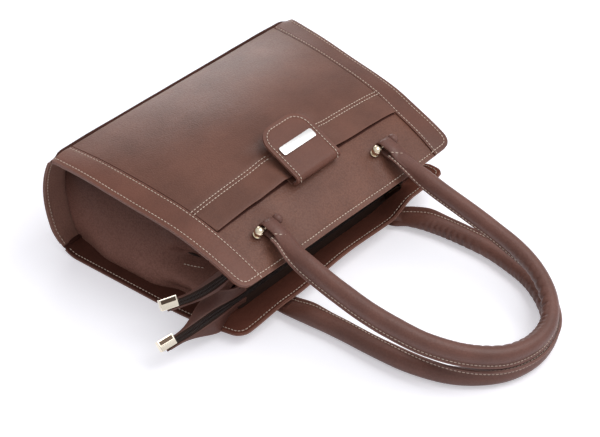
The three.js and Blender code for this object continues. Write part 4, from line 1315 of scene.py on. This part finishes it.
# Stitch rows on the body, and the tacking stitches that hold each gusset's fold
sewForm = {"baseRows": (9.5, 110.5), "baseEnd": 172, "baseSides": (3, 117)}
tackForm = {"lie": (0.41, 0.03, 0.91), "across": (0.272, 0.315), "down": (0.288, 0.192), "lift": 1.75}
sewLift = 0.1
innerSewLift = -leatherThickness - 1.6
inset = panelForm["edgeStitch"]


def sewn(points, lie=(0, 0, 1)):
    return [(p, lie) for p in points]


def edgeRow(sign, mouth, top, point, lift, ends=None):
    radius = bagForm["corner"]
    reach = radius - inset
    path = [point(sign * (halfWidth(y) - inset), y, lift) for y in steps(top, mouth + radius, 60)]
    centreX = halfWidth(mouth + radius / 2) - radius
    for a in steps(0, math.pi / 2, 10)[1:]:
        path.append(point(sign * (centreX + reach * math.cos(a)), mouth + radius - reach * math.sin(a), lift))
    if ends is not None:
        path += [point(sign * x, mouth + inset, lift) for x in steps(centreX, ends, 12)[1:]]
    return sewn(path)


bagRows = []
bandTop = panelForm["bandLift"] + sewLift
for side, sign in bothSides:
    bagRows.append(edgeRow(sign, mouthY, panelStart - 2, frontPoint, bandTop, wingLine(mouthY)))
    bagRows.append(sewn(
        frontPoint(sign * (wingLine(y) + panelForm["bandStitch"]), y, bandTop)
        for y in steps(panelStart - 2, mouthY + 1.5, 70)
    ))
    bagRows.append(edgeRow(sign, backMouthY, panelStart - 6, backPoint, innerSewLift))
    bagRows.append(edgeRow(sign, backMouthY, panelStart - 2, backPoint, sewLift))
    rim = halfWidth(baseLine) - inset
    baseSteps = steps(*sewForm["baseSides"], 44)
    for lift in (sewLift, innerSewLift):
        bagRows.append(sewn((basePoint(sign * rim, z, lift) for z in baseSteps), (1, 0, 0)))
mouthEnd = wingLine(mouthY) - 0.5
bagRows.append(sewn(frontPoint(x, mouthY + inset, sewLift) for x in steps(-mouthEnd, mouthEnd, 80)))
backEnd = halfWidth(backMouthY) - bagForm["corner"]
for lift in (innerSewLift, sewLift):
    bagRows.append(sewn(backPoint(x, backMouthAt(x) + inset, lift) for x in steps(-backEnd, backEnd, 80)))
for y in pocketForm["rows"]:
    end = wingLine(y) - 1
    tabLeft = tabForm["offset"] - tabEdge - 1
    tabRight = tabForm["offset"] + tabEdge + 1
    for left, right in ((-end, tabLeft), (tabRight, end)):
        bagRows.append(sewn(frontPoint(x, y, pocketLift(x, y) - 0.12) for x in steps(left, right, 50)))
end = sewForm["baseEnd"]
for z in sewForm["baseRows"]:
    bagRows.append(sewn(basePoint(x, z, sewLift) for x in steps(-end, end, 90)))
for side, sign in bothSides:
    x, y, z = tackForm["lie"]
    lie = Vector((sign * x, y, z)).normalized()
    spots = [(lerp(*tackForm["across"], t), lerp(*tackForm["down"], t)) for t in steps(0, 1, 8)]
    bagRows.append(sewn((gussetAt(sign, *spot) + lie * tackForm["lift"] for spot in spots), lie))
keep(layRow("bodyStitches", bagRows, stitchSize, threadFinish, 11), "bag", "leather")

stitch = tabForm["stitch"]
reach = tabForm["corner"] - stitch
tabPath = [(-(tabEdge - stitch), s) for s in steps(foldEnd + 8, cornerStart, 24)]
for a in steps(0, math.pi / 2, 10)[1:]:
    tabPath.append((-(tabEdge - tabForm["corner"]) - reach * math.cos(a), cornerStart + reach * math.sin(a)))
tabPath += [(-x, s) for x, s in tabPath[::-1]]
tabRow = sewn(tabPoint(x, s, 0.25) for x, s in tabPath)
keep(layRow("tabStitches", [tabRow], stitchSize, threadFinish, 17), "pocket_tab", "leather")
print("stitches sewn")

# Pieces kept as they are in the part, with cloth and board finishes
for node, finish in (
    ("front_lining", liningFinish), ("back_lining", liningFinish), ("base_lining", liningFinish),
    ("front_wall", liningFinish), ("rear_wall", liningFinish), ("base_board", boardFinish),
):
    slots = frame["nodes"][node].data.materials
    slots.clear()
    slots.append(finish)

# Floor, light and camera
studio = {
    "floor": shade(0.82, 0.82, 0.85), "glow": shade(0.97, 0.96, 1.0), "lift": 0.38, "floorSize": 6000,
    "floorDrop": -0.6, "sky": shade(0.97, 0.97, 1.0), "shadeSide": 0.23, "lightSide": 0.86,
    "lightFrom": (0.12, -0.52, 0.75),
}


softboxes = {
    "overheadSoftbox": {"place": (0.58, -0.84, 1.60), "target": (0, -0.1, 0), "size": 1.5, "power": 16},
    "farSoftbox": {"place": (1.69, 1.94, 0.69), "target": (0, -0.05, 0.1), "size": 1.2, "power": 20.5},
}


def stageFloor():
    finish = Finish("paleFloor", {"Base Color": studio["floor"], "Roughness": 0.9, "Specular IOR Level": 0.1})
    seen = finish.light("Is Camera Ray") + finish.light("Is Glossy Ray")
    glow = finish.node("ShaderNodeEmission", {}, {"Color": studio["glow"], "Strength": seen * studio["lift"]})
    both = finish.node("ShaderNodeAddShader", {}, {0: Wire(finish, finish.shader.outputs[0]), 1: glow})
    finish.feed(finish.tree.nodes["Material Output"].inputs["Surface"], both)
    size, low = studio["floorSize"], studio["floorDrop"]
    corners = [(-size, -size, low), (size, -size, low), (size, size, low), (-size, size, low)]
    newPiece("floor", corners, [(0, 1, 2, 3)], finish.material)


def softSky():
    world = bpy.data.worlds.new("softSky")
    bpy.context.scene.world = world
    world.use_nodes = True
    sky = Nodes(world.node_tree)
    towards = sky.node("ShaderNodeTexCoord", output="Generated")
    side = sky.node("ShaderNodeVectorMath", {"operation": "DOT_PRODUCT"},
                    {0: towards, 1: studio["lightFrom"]}, "Value")
    level = studio["shadeSide"] + (studio["lightSide"] - studio["shadeSide"]) * sky.ramp(side, -0.6, 0.9)
    seen = sky.light("Is Camera Ray")
    background = world.node_tree.nodes["Background"]
    background.inputs["Color"].default_value = studio["sky"]
    sky.feed(background.inputs["Strength"], level + seen * (1 - level))


def areaLight(name, place, target, size, power):
    lamp = bpy.data.lights.new(name, "AREA")
    lamp.shape = "DISK"
    lamp.size = size
    lamp.energy = power
    stand = placed(name, lamp)
    stand.location = place
    aim = Vector(target) - Vector(place)
    stand.rotation_euler = aim.to_track_quat("-Z", "Y").to_euler()


stageFloor()
softSky()
for name, box in softboxes.items():
    areaLight(name, **box)

shot = {"azimuth": -48.2, "elevation": 38.8, "target": (28.9, -66.5, 0), "distance": 1724, "lens": 96}
azimuth = math.radians(shot["azimuth"])
elevation = math.radians(shot["elevation"])
level = math.cos(elevation)
backwards = Vector((math.sin(azimuth) * level, -math.cos(azimuth) * level, math.sin(elevation)))
lens = bpy.data.cameras.new("shot")
lens.lens = shot["lens"]
lens.sensor_width = 36
lens.clip_start = 0.01
lens.clip_end = 50
camera = placed("shot", lens)
camera.location = (Vector(shot["target"]) + backwards * shot["distance"]) * mm
camera.rotation_euler = backwards.to_track_quat("Z", "Y").to_euler()
bpy.context.scene.camera = camera
bpy.context.scene.view_settings.view_transform = "Standard"
print("stage set")
